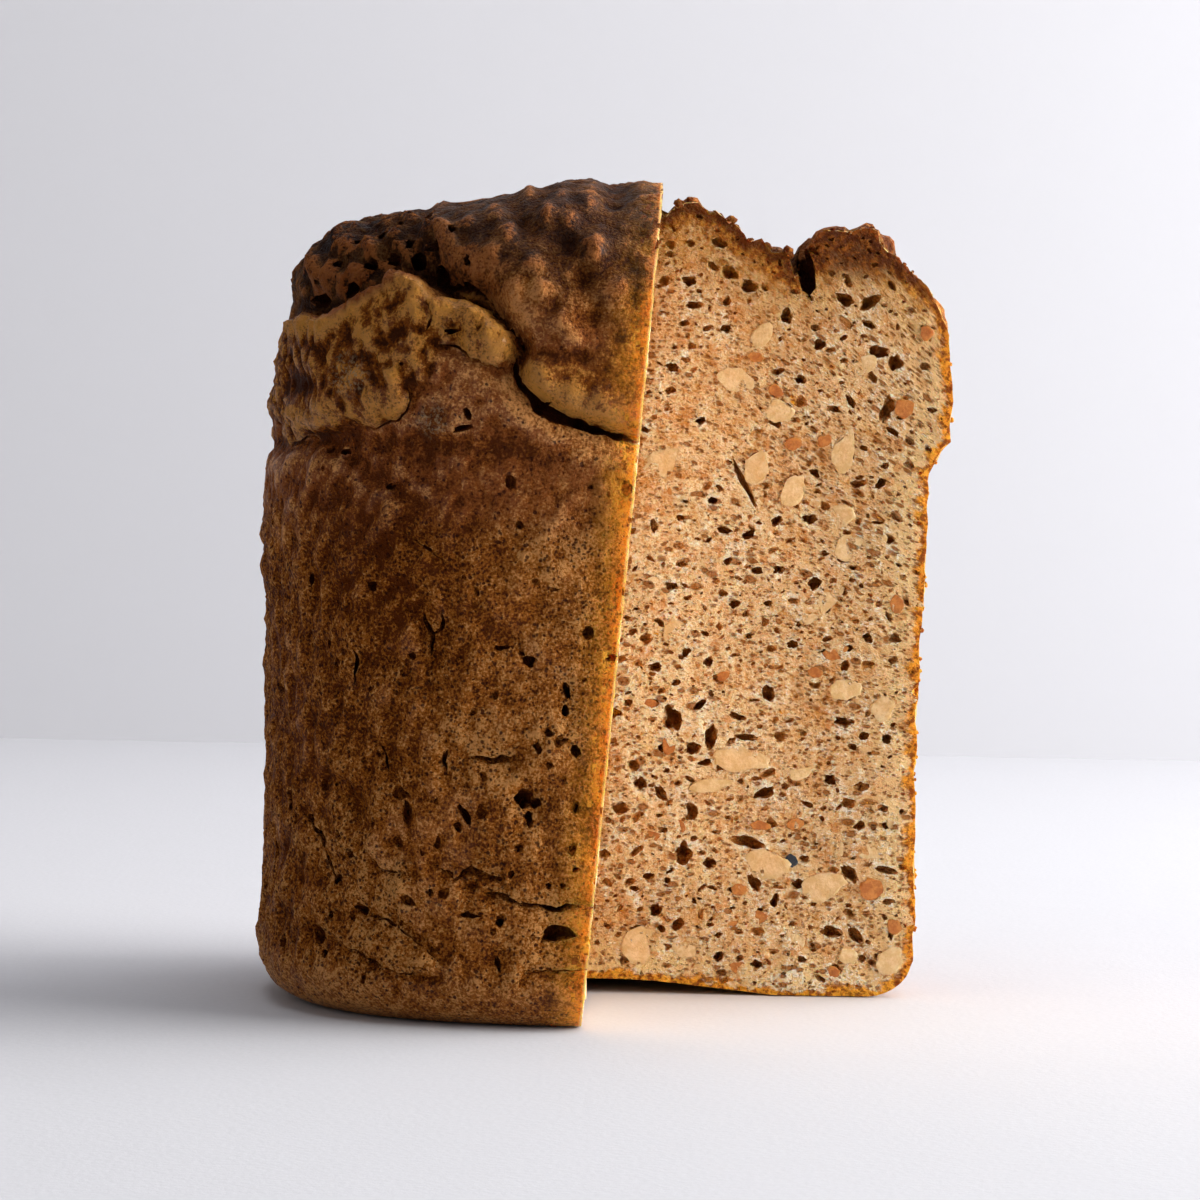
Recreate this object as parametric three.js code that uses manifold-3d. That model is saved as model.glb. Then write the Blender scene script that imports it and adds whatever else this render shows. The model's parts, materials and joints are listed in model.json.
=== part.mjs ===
// A tall bread loaf with one quarter cut out of it, from the crown down to the base.
//
// The loaf was baked as one piece in an upright tin, so it is one closed solid. It stands on the flat rim of its
// base, which arches up a little in the middle. The tin shaped the straight wall; above the tin's rim the dough
// broke out as a wider shoulder, and the crown on top is lumpy and split by cracks.
//
// Millimetres, +Z up. X is the loaf's width and Y its depth. The origin is on the base plane, in the middle of the
// loaf's outer box. The missing quarter is the one at +X, -Y.

import * as THREE from "three";
import { mergeVertices } from "three/addons/utils/BufferGeometryUtils.js";
import Module from "manifold-3d";

// ---- Driving dimensions ----

const HALF_WIDTH = 66; // at the shoulder, the widest place
const HALF_DEPTH = 60;
const HEIGHT = 153; // of the crown's middle, before its lumps
const PLAN_POWER = 2.5; // 2 is an ellipse, and more is squarer
const WALL_HALF_WIDTH = 63; // inside the tin
const WALL_SHIFT_X = -2.2; // the wall stands a little left of the shoulder
const SPLIT_HEIGHT = 104; // where the tin's rim was, and the crust split from its wall
const BASE_EDGE_RADIUS = 9;
const BASE_RIM_WIDTH = 16; // the flat ring that the loaf stands on
const ARCH_HEIGHT = 2.6; // of the base's hollow middle

const CUT_Y = 0; // the cut face that looks to -Y
const CUT_X_AT_BASE = -3.3; // the cut face that looks to +X leans over a little
const CUT_LEAN = 0.079; // its X gained for each millimetre of height

const SIDES = 96; // round the loaf

// Lumps of the crown: where each one's middle is, how far it spreads, and how much it adds to the height.
const LUMPS = [
  { x: -47, y: -10, spread: 13, rise: 2 },
  { x: -2, y: -24, spread: 17, rise: 2.6 },
  { x: 16, y: 6, spread: 11, rise: 1.6 },
  { x: 46, y: 4, spread: 9, rise: 3.4 },
  { x: -20, y: 28, spread: 18, rise: 1.8 },
  { x: 28, y: 36, spread: 12, rise: 1.5 },
];

// Cracks in the crust: the points each one runs through on the surface, how wide it opens, and how deep it goes.
const CRACKS = [
  {
    path: [[-30, 22, 149.5], [-36, 0, 149], [-34, -26, 147], [-29, -46, 135], [-25, -54, 124], [-16, -57.5, 117], [-6, -59.5, 111], [6, -59, 106], [20, -58, 104]],
    width: 4.4,
    depth: 6,
  },
  {
    path: [[35, -16, 148], [36.5, -2, 148.5], [36, 12, 148], [27, 28, 148.5], [8, 38, 148], [-12, 40, 148]],
    width: 4,
    depth: 9,
  },
  {
    path: [[-62, -12, 128], [-54, -34, 121], [-42, -48, 119], [-27, -55, 122]],
    width: 3.6,
    depth: 4,
  },
];
const CRACKS_POINT_TO = { x: 0, y: 0, z: 96 }; // the place inside that every crack's depth leads to
const CRACK_SIDES = 10;
const CRACK_STEPS = 28;

// ---- The loaf's side profile: [half width, height], from the middle of the base to the middle of the crown ----

const BASE_RIM_OUTER = WALL_HALF_WIDTH - BASE_EDGE_RADIUS;
const BASE_RIM_INNER = BASE_RIM_OUTER - BASE_RIM_WIDTH;

function archPoint(share) {
  const height = (ARCH_HEIGHT * (1 + Math.cos(Math.PI * share))) / 2;
  return [BASE_RIM_INNER * share, height];
}

function baseEdgePoint(share) {
  const turn = (share * Math.PI) / 2;
  return [
    BASE_RIM_OUTER + BASE_EDGE_RADIUS * Math.sin(turn),
    BASE_EDGE_RADIUS * (1 - Math.cos(turn)),
  ];
}

function loafProfile() {
  const arch = [0, 0.3, 0.55, 0.8, 1].map(archPoint);
  const baseEdge = [0, 0.25, 0.5, 0.75, 1].map(baseEdgePoint);
  const wall = [
    [WALL_HALF_WIDTH - 0.4, 26],
    [WALL_HALF_WIDTH - 0.6, 44],
    [WALL_HALF_WIDTH - 0.2, 62],
    [WALL_HALF_WIDTH + 0.4, 80],
    [WALL_HALF_WIDTH + 0.9, 94],
    [WALL_HALF_WIDTH + 0.2, SPLIT_HEIGHT - 3],
  ];
  const shoulder = [
    [HALF_WIDTH - 3.8, SPLIT_HEIGHT],
    [HALF_WIDTH - 1.2, SPLIT_HEIGHT + 3],
    [HALF_WIDTH, SPLIT_HEIGHT + 9],
    [HALF_WIDTH - 0.5, SPLIT_HEIGHT + 16],
    [HALF_WIDTH - 2, SPLIT_HEIGHT + 22],
    [HALF_WIDTH - 5, SPLIT_HEIGHT + 30],
    [HALF_WIDTH - 9, SPLIT_HEIGHT + 36.5],
    [HALF_WIDTH - 15, SPLIT_HEIGHT + 41.5],
  ];
  const crown = [
    [42, HEIGHT - 4.9],
    [33, HEIGHT - 3],
    [24, HEIGHT - 1.6],
    [15, HEIGHT - 0.7],
    [7, HEIGHT - 0.2],
    [0, HEIGHT],
  ];
  return [...arch, ...baseEdge, ...wall, ...shoulder, ...crown].map(([x, z]) => new THREE.Vector2(x, z));
}

// ---- From a round lathed body to the loaf's plan ----

// How far the plan's outline is from its middle in the direction of angle, where it is 1 along X.
function planRadius(angle) {
  const across = Math.abs(Math.cos(angle)) ** PLAN_POWER;
  const along = (Math.abs(Math.sin(angle)) * (HALF_WIDTH / HALF_DEPTH)) ** PLAN_POWER;
  return (across + along) ** (-1 / PLAN_POWER);
}

function smoothStep(low, high, value) {
  return THREE.MathUtils.smoothstep(value, low, high);
}

// The height that the lumps add to the crown at x, y.
function crownRelief(x, y) {
  return LUMPS.reduce(
    (sum, lump) => sum + lump.rise * Math.exp(-((x - lump.x) ** 2 + (y - lump.y) ** 2) / lump.spread ** 2),
    0,
  );
}

function shapeLoaf(point) {
  const angle = Math.atan2(point.y, point.x);
  const radius = Math.hypot(point.x, point.y);
  const stretch = THREE.MathUtils.lerp(1, planRadius(angle), smoothStep(0, 0.35, radius / HALF_WIDTH));
  const shift = WALL_SHIFT_X * (1 - smoothStep(SPLIT_HEIGHT - 4, SPLIT_HEIGHT + 2, point.z));
  point.x = point.x * stretch + shift;
  point.y *= stretch;
  const onCrown = smoothStep(SPLIT_HEIGHT + 18, HEIGHT - 12, point.z);
  point.z += onCrown * crownRelief(point.x, point.y);
}

// ---- Solids ----

const wasm = await Module();
wasm.setup();

// A closed three.js geometry as a manifold-3d solid, without the triangles that collapse on the axis.
function solidFrom(geometry) {
  const bare = geometry.clone();
  bare.deleteAttribute("normal");
  bare.deleteAttribute("uv");
  const merged = mergeVertices(bare, 1e-3);
  const corners = merged.index.array;
  const kept = [];
  for (let i = 0; i < corners.length; i += 3) {
    const [a, b, c] = corners.slice(i, i + 3);
    if (a !== b && b !== c && c !== a) kept.push(a, b, c);
  }
  return new wasm.Manifold(
    new wasm.Mesh({
      numProp: 3,
      vertProperties: merged.attributes.position.array,
      triVerts: new Uint32Array(kept),
    }),
  );
}

function geometryFrom(solid) {
  const mesh = solid.getMesh();
  const geometry = new THREE.BufferGeometry();
  geometry.setAttribute("position", new THREE.BufferAttribute(new Float32Array(mesh.vertProperties), 3));
  geometry.setIndex(new THREE.BufferAttribute(new Uint32Array(mesh.triVerts), 1));
  geometry.computeVertexNormals();
  return geometry;
}

function wholeLoaf() {
  const lathed = new THREE.LatheGeometry(loafProfile(), SIDES);
  lathed.rotateX(Math.PI / 2);
  const positions = lathed.attributes.position;
  const point = new THREE.Vector3();
  for (let i = 0; i < positions.count; i++) {
    point.fromBufferAttribute(positions, i);
    shapeLoaf(point);
    positions.setXYZ(i, point.x, point.y, point.z);
  }
  return solidFrom(lathed);
}

// The knife's two cuts: all that lies right of the leaning cut and in front of the straight one.
function missingQuarter() {
  const low = -20;
  const high = HEIGHT + 20;
  const far = HALF_WIDTH + 30;
  const section = new THREE.Shape([
    new THREE.Vector2(CUT_X_AT_BASE + CUT_LEAN * low, low),
    new THREE.Vector2(far, low),
    new THREE.Vector2(far, high),
    new THREE.Vector2(CUT_X_AT_BASE + CUT_LEAN * high, high),
  ]);
  const depth = HALF_DEPTH + 30;
  const block = new THREE.ExtrudeGeometry(section, { depth, bevelEnabled: false });
  block.rotateX(Math.PI / 2); // the section now stands in XZ, and its depth runs to -Y
  block.translate(0, CUT_Y, 0);
  return solidFrom(block);
}

// A crack as a blade that follows its path, tapers to both ends, and stands across the surface.
function crackSolid({ path, width, depth }) {
  const curve = new THREE.CatmullRomCurve3(path.map(([x, y, z]) => new THREE.Vector3(x, y, z)));
  const blade = new THREE.SphereGeometry(1, CRACK_SIDES, CRACK_STEPS);
  const positions = blade.attributes.position;
  for (let i = 0; i < positions.count; i++) {
    const share = THREE.MathUtils.clamp((1 + positions.getY(i)) / 2, 0, 1);
    const place = curve.getPointAt(share);
    const along = curve.getTangentAt(share);
    const inward = new THREE.Vector3().copy(CRACKS_POINT_TO).sub(place);
    inward.addScaledVector(along, -inward.dot(along)).normalize();
    const across = new THREE.Vector3().crossVectors(along, inward);
    place.addScaledVector(across, (positions.getX(i) * width) / 2);
    place.addScaledVector(inward, positions.getZ(i) * depth);
    positions.setXYZ(i, place.x, place.y, place.z);
  }
  return solidFrom(blade);
}

function cutLoaf() {
  const cracked = CRACKS.map(crackSolid).reduce((loaf, crack) => loaf.subtract(crack), wholeLoaf());
  return cracked.subtract(missingQuarter());
}

// ---- The part ----

const crust = new THREE.MeshStandardMaterial({ name: "crust", color: 0x80502a, roughness: 0.8, metalness: 0 });

const loaf = new THREE.Mesh(geometryFrom(cutLoaf()), crust);
loaf.name = "bread_loaf";

const group = new THREE.Group();
group.add(loaf);

export default group;
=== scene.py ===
"""A tall seeded bread loaf with one quarter cut out of it, from the crown down to the base.

The loaf was baked as one piece, so it is modelled as one closed body. The crust is shaped first, then split
by its cracks and pitted, then cut by the knife, and last the cut faces are opened by the pores of the crumb.
The kernels and grains that were cut through lie in the cut faces as pieces of their own.

Sizes in the classes are millimetres, in the frame's axes: +Z up, X the loaf's width, Y its depth.
"""
import json
import logging
import math
from dataclasses import dataclass, field
from enum import Enum
from typing import Sequence

import bpy
import numpy as np
from mathutils import Matrix, Vector
from mathutils.bvhtree import BVHTree

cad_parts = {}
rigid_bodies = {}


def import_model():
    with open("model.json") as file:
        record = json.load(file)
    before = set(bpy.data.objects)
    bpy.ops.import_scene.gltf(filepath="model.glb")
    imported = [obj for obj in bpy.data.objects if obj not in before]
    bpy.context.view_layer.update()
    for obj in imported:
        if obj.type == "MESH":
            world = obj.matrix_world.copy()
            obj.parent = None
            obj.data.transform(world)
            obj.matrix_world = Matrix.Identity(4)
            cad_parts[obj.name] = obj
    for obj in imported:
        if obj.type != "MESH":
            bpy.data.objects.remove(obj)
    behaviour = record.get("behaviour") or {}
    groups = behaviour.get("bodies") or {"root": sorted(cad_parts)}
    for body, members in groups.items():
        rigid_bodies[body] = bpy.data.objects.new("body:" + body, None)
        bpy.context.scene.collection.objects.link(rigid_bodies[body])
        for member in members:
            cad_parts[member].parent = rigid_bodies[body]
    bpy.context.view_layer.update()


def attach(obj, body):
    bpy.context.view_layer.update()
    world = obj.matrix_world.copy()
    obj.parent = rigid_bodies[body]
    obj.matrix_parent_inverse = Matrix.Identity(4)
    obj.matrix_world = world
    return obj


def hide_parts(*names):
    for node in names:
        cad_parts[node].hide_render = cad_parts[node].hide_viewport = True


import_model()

MM = 0.001  # metres in a millimetre

log = logging.getLogger("bread_loaf")

Array = np.ndarray
Piece = bpy.types.Object
Node = bpy.types.Node
Socket = bpy.types.NodeSocket
Point2 = tuple[float, float]
Point3 = tuple[float, float, float]
Rgb = tuple[float, float, float]

# Where the loaf is looked at from; the places of features on its front are given as they appear from there.
VIEWPOINT: Point3 = (-1.35, -810.0, 105.7)


# --- Unevenness ---


class DoughNoise:
    """Seeded smooth noise in space, from about -1 to 1, for all that is uneven in the bread."""

    def __init__(self, seed: int) -> None:
        """Draws the noise's slopes.

        Args:
            seed: Picks one noise out of many.
        """
        draw = np.random.default_rng(seed)
        self.order = np.tile(draw.permutation(256), 3)
        slopes = draw.normal(size=(256, 3))
        self.slopes = slopes / np.linalg.norm(slopes, axis=1)[:, None]

    def at(self, points: Array, grain: float) -> Array:
        """Gives one layer of noise.

        Args:
            points: Places, one row each, in millimetres.
            grain: How many millimetres one swell takes.

        Returns:
            The noise at each place.
        """
        scaled = points / grain
        cell = np.floor(scaled).astype(int)
        part = scaled - cell
        fade = part**3 * (part * (part * 6 - 15) + 10)
        cell &= 255
        total = np.zeros(len(points))
        for corner in np.ndindex(2, 2, 2):
            step = np.array(corner)
            hashed = self.order[cell[:, 0] + step[0]]
            hashed = self.order[hashed + cell[:, 1] + step[1]]
            hashed = self.order[hashed + cell[:, 2] + step[2]]
            weight = np.prod(np.where(step == 1, fade, 1 - fade), axis=1)
            total += weight * np.sum(self.slopes[hashed] * (part - step), axis=1)
        return total * 1.6

    def layered(self, points: Array, grain: float, layers: int, fall: float = 0.5) -> Array:
        """Sums layers of noise, each at half the grain of the one before.

        Args:
            points: Places, one row each, in millimetres.
            grain: The coarsest layer's grain.
            layers: How many layers there are.
            fall: How much weaker each finer layer is.

        Returns:
            The summed noise at each place.
        """
        shares = [fall**layer for layer in range(layers)]
        parts = [
            share * self.at(points + 17.3 * layer, grain / 2**layer)
            for layer, share in enumerate(shares)
        ]
        return np.sum(parts, axis=0) / math.sqrt(sum(share**2 for share in shares))


def ease(low: float, high: float, value: Array) -> Array:
    """Rises smoothly from 0 at low to 1 at high.

    Args:
        low: Where the rise starts; it may be above high, for a fall.
        high: Where the rise ends.
        value: The values to rise by.

    Returns:
        The eased values.
    """
    share = np.clip((value - low) / (high - low), 0.0, 1.0)
    return share * share * (3 - 2 * share)


def bell(distance: Array, width: float) -> Array:
    """Falls from 1 at distance 0 in a bell of the given width."""
    return np.exp(-((distance / width) ** 2))


def line_distance(spots: Array, line: Sequence[Point2]) -> tuple[Array, Array]:
    """Measures how far spots are from an open line, and on which side.

    Args:
        spots: Flat places, one row each.
        line: The line's corners in order.

    Returns:
        Each spot's distance, and 1 or -1 for the left or right side of the line's nearest stretch.
    """
    best = np.full(len(spots), np.inf)
    side = np.ones(len(spots))
    for start, end in zip(line[:-1], line[1:]):
        a, b = np.array(start), np.array(end)
        along = b - a
        share = np.clip((spots - a) @ along / (along @ along), 0, 1)
        gap = spots - a - share[:, None] * along
        distance = np.hypot(gap[:, 0], gap[:, 1])
        turn = along[0] * (spots[:, 1] - a[1]) - along[1] * (spots[:, 0] - a[0])
        nearer = distance < best
        best = np.where(nearer, distance, best)
        side = np.where(nearer, np.sign(turn), side)
    return best, side


def inside_depth(spots: Array, outline: Sequence[Point2]) -> Array:
    """Measures how far inside a closed outline spots are; it is below 0 outside.

    Args:
        spots: Flat places, one row each.
        outline: The outline's corners in order, the last joined to the first.

    Returns:
        Each spot's depth inside the outline.
    """
    closed = list(outline) + [outline[0]]
    distance, _ = line_distance(spots, closed)
    inside = np.zeros(len(spots), dtype=bool)
    for (ax, az), (bx, bz) in zip(closed[:-1], closed[1:]):
        if az == bz:
            continue
        crosses = (az > spots[:, 1]) != (bz > spots[:, 1])
        reach = (bx - ax) * (spots[:, 1] - az) / (bz - az) + ax
        inside ^= crosses & (spots[:, 0] < reach)
    return np.where(inside, distance, -distance)


# --- Mesh work ---


class Combining(Enum):
    """What a tool does to the body it meets."""

    TAKE_AWAY = "DIFFERENCE"
    ADD = "UNION"


class Bench:
    """The workbench: adds primitives, reads and moves their points, and applies modifiers."""

    @staticmethod
    def clear_hands() -> None:
        """Leaves edit mode and deselects everything, because an operator acts on all that is selected."""
        if bpy.context.object and bpy.context.object.mode != "OBJECT":
            bpy.ops.object.mode_set(mode="OBJECT")
        bpy.ops.object.select_all(action="DESELECT")

    @staticmethod
    def hold(piece: Piece) -> None:
        """Makes one piece the only selected and active one."""
        Bench.clear_hands()
        piece.select_set(True)
        bpy.context.view_layer.objects.active = piece

    @staticmethod
    def put_away(piece: Piece) -> None:
        """Removes a piece and its mesh."""
        mesh = piece.data
        bpy.data.objects.remove(piece)
        bpy.data.meshes.remove(mesh)

    @staticmethod
    def points(piece: Piece) -> Array:
        """Reads a piece's points in millimetres."""
        flat = np.empty(len(piece.data.vertices) * 3)
        piece.data.vertices.foreach_get("co", flat)
        return flat.reshape(-1, 3) / MM

    @staticmethod
    def normals(piece: Piece) -> Array:
        """Reads which way a piece's surface faces at each of its points."""
        flat = np.empty(len(piece.data.vertices) * 3)
        piece.data.vertex_normals.foreach_get("vector", flat)
        return flat.reshape(-1, 3)

    @staticmethod
    def place(piece: Piece, points: Array) -> None:
        """Moves a piece's points to places given in millimetres."""
        piece.data.vertices.foreach_set("co", (points * MM).ravel())
        piece.data.update()

    @staticmethod
    def subdivided_cube(name: str, cuts: int) -> Piece:
        """Adds a cube from -1 mm to 1 mm and cuts each of its faces into a grid.

        Args:
            name: The piece's name.
            cuts: How many cuts each edge takes.

        Returns:
            The gridded cube.
        """
        Bench.clear_hands()
        bpy.ops.mesh.primitive_cube_add(size=2 * MM)
        cube = bpy.context.object
        cube.name = name
        bpy.ops.object.mode_set(mode="EDIT")
        bpy.ops.mesh.select_all(action="SELECT")
        bpy.ops.mesh.subdivide(number_cuts=cuts)
        bpy.ops.object.mode_set(mode="OBJECT")
        return cube

    @staticmethod
    def ball(detail: int) -> tuple[Array, Array]:
        """Models one small ball, the shape that pores, pits and kernels are copied from.

        Args:
            detail: The icosphere's subdivisions.

        Returns:
            The ball's points, on a radius of 1, and its triangles.
        """
        Bench.clear_hands()
        bpy.ops.mesh.primitive_ico_sphere_add(subdivisions=detail, radius=MM)
        ball = bpy.context.object
        points = Bench.points(ball)
        corners = np.empty(len(ball.data.polygons) * 3, dtype=int)
        ball.data.polygons.foreach_get("vertices", corners)
        Bench.put_away(ball)
        return points, corners.reshape(-1, 3)

    @staticmethod
    def piece_from(name: str, points: Array, faces: Array) -> Piece:
        """Makes one piece out of copied points and faces, with a mesh of its own.

        Args:
            name: The piece's name.
            points: Its points in millimetres.
            faces: Its faces, each a row of point numbers.

        Returns:
            The piece.
        """
        mesh = bpy.data.meshes.new(name)
        mesh.from_pydata((points * MM).tolist(), [], faces.tolist())
        piece = bpy.data.objects.new(name, mesh)
        bpy.context.scene.collection.objects.link(piece)
        return piece

    @staticmethod
    def apply(body: Piece, modifier: bpy.types.Modifier) -> None:
        """Applies one of a body's modifiers."""
        Bench.hold(body)
        bpy.ops.object.modifier_apply(modifier=modifier.name)

    @staticmethod
    def combine(body: Piece, tool: Piece, how: Combining = Combining.TAKE_AWAY) -> None:
        """Subtracts a tool from a body, or adds it, and puts the tool away.

        Args:
            body: The piece that is worked on.
            tool: A closed piece whose parts don't overlap each other.
            how: Whether the tool is taken away or added.
        """
        before = len(body.data.polygons)
        cut = body.modifiers.new("cut", "BOOLEAN")
        cut.operation = how.value
        cut.solver = "MANIFOLD"
        cut.object = tool
        Bench.apply(body, cut)
        if len(body.data.polygons) in (0, before):
            raise RuntimeError(f"{tool.name} changed nothing on {body.name}")
        Bench.put_away(tool)

    @staticmethod
    def thin_out(body: Piece, most: int) -> None:
        """Merges the flattest triangles until a body has no more than the given number."""
        body.data.calc_loop_triangles()
        count = len(body.data.loop_triangles)
        if count > most:
            thin = body.modifiers.new("thin", "DECIMATE")
            thin.ratio = most / count
            Bench.apply(body, thin)

    @staticmethod
    def tree(piece: Piece) -> BVHTree:
        """Builds a search tree of a piece's surface, in millimetres."""
        faces = [tuple(face.vertices) for face in piece.data.polygons]
        return BVHTree.FromPolygons(Bench.points(piece).tolist(), faces)


@dataclass
class Blobs:
    """A batch of lumpy balls, copied from one ball, that is subtracted from the bread in one cut."""

    noise: DoughNoise
    detail: int = 2
    points: list[Array] = field(default_factory=list)
    faces: list[Array] = field(default_factory=list)
    count: int = 0

    def __post_init__(self) -> None:
        """Models the ball."""
        self.ball_points, self.ball_faces = Bench.ball(self.detail)

    def add(self, centre: Array, axes: Array, radii: Sequence[float], lumps: float) -> None:
        """Copies the ball to a place.

        Args:
            centre: Its middle.
            axes: Three rows, the directions that its radii run in.
            radii: Its half sizes along those directions.
            lumps: How uneven it is, as a share of its size.
        """
        ball = self.ball_points
        swell = np.maximum(1 + lumps * self.noise.layered(ball + np.asarray(centre) * 3.1, 0.9, 3, 0.6), 0.3)
        shaped = (ball * swell[:, None] * np.asarray(radii)) @ np.asarray(axes)
        self.points.append(np.asarray(centre) + shaped)
        self.faces.append(self.ball_faces + self.count)
        self.count += len(ball)

    def tool(self, name: str) -> Piece:
        """Makes the batch one piece."""
        return Bench.piece_from(name, np.vstack(self.points), np.vstack(self.faces))


# --- The whole loaf's form ---


@dataclass(frozen=True)
class KnifeCuts:
    """The two cuts that took the quarter out: a straight one, and one that leans over."""

    straight_y: float = 0.0
    straight_out: Point3 = (0.0, -1.0, 0.0)
    leaning_out: Point3 = (1.0, 0.0, 0.0)
    leaning_x_at_base: float = -3.3
    lean: float = 0.079

    def leaning_x(self, z: Array) -> Array:
        """Gives the leaning cut's X at a height."""
        return self.leaning_x_at_base + self.lean * z


@dataclass
class LoafForm:
    """The loaf before its crust cracked: its plan, and its profile from the base's middle to the crown's."""

    half_width: float = 66.0
    half_depth: float = 60.0
    plan_power: float = 2.5
    wall_shift: float = -2.2
    split_height: float = 104.0
    grid_cuts: int = 134
    base_reach: float = 54.0
    profile: tuple[Point2, ...] = (
        (0, 2.6), (12, 2.3), (24, 1.2), (34, 0.2), (38, 0), (46, 0), (54, 0), (57.4, 0.7), (60.4, 2.6),
        (62.3, 5.6), (63, 9), (62.7, 26), (62.4, 44), (62.7, 62), (63.3, 80), (63.8, 94), (63.5, 101),
        (64.2, 106), (65.4, 110), (66, 114), (65.8, 119), (65, 124.5), (63.4, 130), (60.8, 135.5),
        (57, 140.5), (52, 144.6), (46, 147.4), (38, 149.4), (29, 150.8), (19, 151.9), (9, 152.7), (0, 153),
    )
    crown_height: float = 140.0

    def __post_init__(self) -> None:
        """Smooths the profile and measures it along its length."""
        knots = np.array(self.profile, dtype=float)
        padded = np.vstack([knots[0], knots, knots[-1]])
        steps = np.linspace(0, 1, 12, endpoint=False)[:, None]
        pieces = []
        for p0, p1, p2, p3 in zip(padded, padded[1:], padded[2:], padded[3:]):
            pieces.append(
                0.5 * (2 * p1 + (p2 - p0) * steps + (2 * p0 - 5 * p1 + 4 * p2 - p3) * steps**2
                       + (3 * p1 - p0 - 3 * p2 + p3) * steps**3)
            )
        self.fine = np.vstack([*pieces, knots[-1:]])
        lengths = np.hypot(*np.diff(self.fine, axis=0).T)
        self.run = np.concatenate([[0.0], np.cumsum(lengths)]) / lengths.sum()
        self.base_share = float(self.run[np.argmax(self.fine[:, 0] >= self.base_reach)])
        self.crown_share = float(self.run[np.argmax(self.fine[:, 1] >= self.crown_height)])

    def plan_radius(self, angle: Array) -> Array:
        """Gives how far the plan's outline is from its middle, where it is 1 along X."""
        across = np.abs(np.cos(angle)) ** self.plan_power
        along = (np.abs(np.sin(angle)) * self.half_width / self.half_depth) ** self.plan_power
        return (across + along) ** (-1 / self.plan_power)

    def lay_grid(self, cube: Array) -> Array:
        """Lays a gridded cube's points onto the loaf, closest together at the front left and near the crown.

        Args:
            cube: The cube's points, from -1 to 1.

        Returns:
            The points on the loaf's surface.
        """
        u, v, w = np.clip(cube, -1, 1).T
        ring = np.maximum(np.abs(u), np.abs(v))
        wide = np.abs(u) >= np.abs(v)
        safe_u = np.where(np.abs(u) < 1e-9, 1e-9, u)
        safe_v = np.where(np.abs(v) < 1e-9, 1e-9, v)
        quarter = math.pi / 4
        angle = np.where(
            wide,
            np.where(u > 0, 0.0, math.pi) + quarter * v / safe_u,
            np.where(v > 0, 2 * quarter, 6 * quarter) - quarter * u / safe_v,
        )
        angle = angle + 0.25 * np.sin(angle - quarter)
        share = (w + 1) / 2
        share = share * 1.22 - 0.22 * share**2
        along = self.base_share + share * (self.crown_share - self.base_share)
        flat = np.abs(w) > 1 - 1e-6
        top = self.crown_share + (1 - ring) * (1 - self.crown_share)
        along = np.where(flat & (w > 0), top, np.where(flat, ring * self.base_share, along))
        radius = np.interp(along, self.run, self.fine[:, 0])
        height = np.interp(along, self.run, self.fine[:, 1])
        stretch = 1 + (self.plan_radius(angle) - 1) * ease(0, 0.35, radius / self.half_width)
        shift = self.wall_shift * (1 - ease(self.split_height - 4, self.split_height + 2, height))
        reach = radius * stretch
        return np.column_stack([reach * np.cos(angle) + shift, reach * np.sin(angle), height])


@dataclass(frozen=True)
class Crease:
    """A crack or fold in the crust: its line from the front, how wide and deep it is, and its raised lip."""

    line: tuple[Point2, ...]
    width: float
    depth: float
    lip: float = 0.0
    lip_reach: float = 2.5
    undercut: float = 0.0


@dataclass(frozen=True)
class Pit:
    """A hole in the crust, as seen from the front."""

    x: float
    z: float
    across: float
    high: float
    deep: float
    tilt: float = 0.0


@dataclass(frozen=True)
class Ridge:
    """A raised line on the crust, as seen from the front."""

    line: tuple[Point2, ...]
    reach: float
    lift: float


# What the relief tells the crust's finish at each point; each is a method of CrustRelief.
RELIEF_MASKS = ("burnt", "torn", "floury", "tone", "rosy", "smooth")


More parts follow.
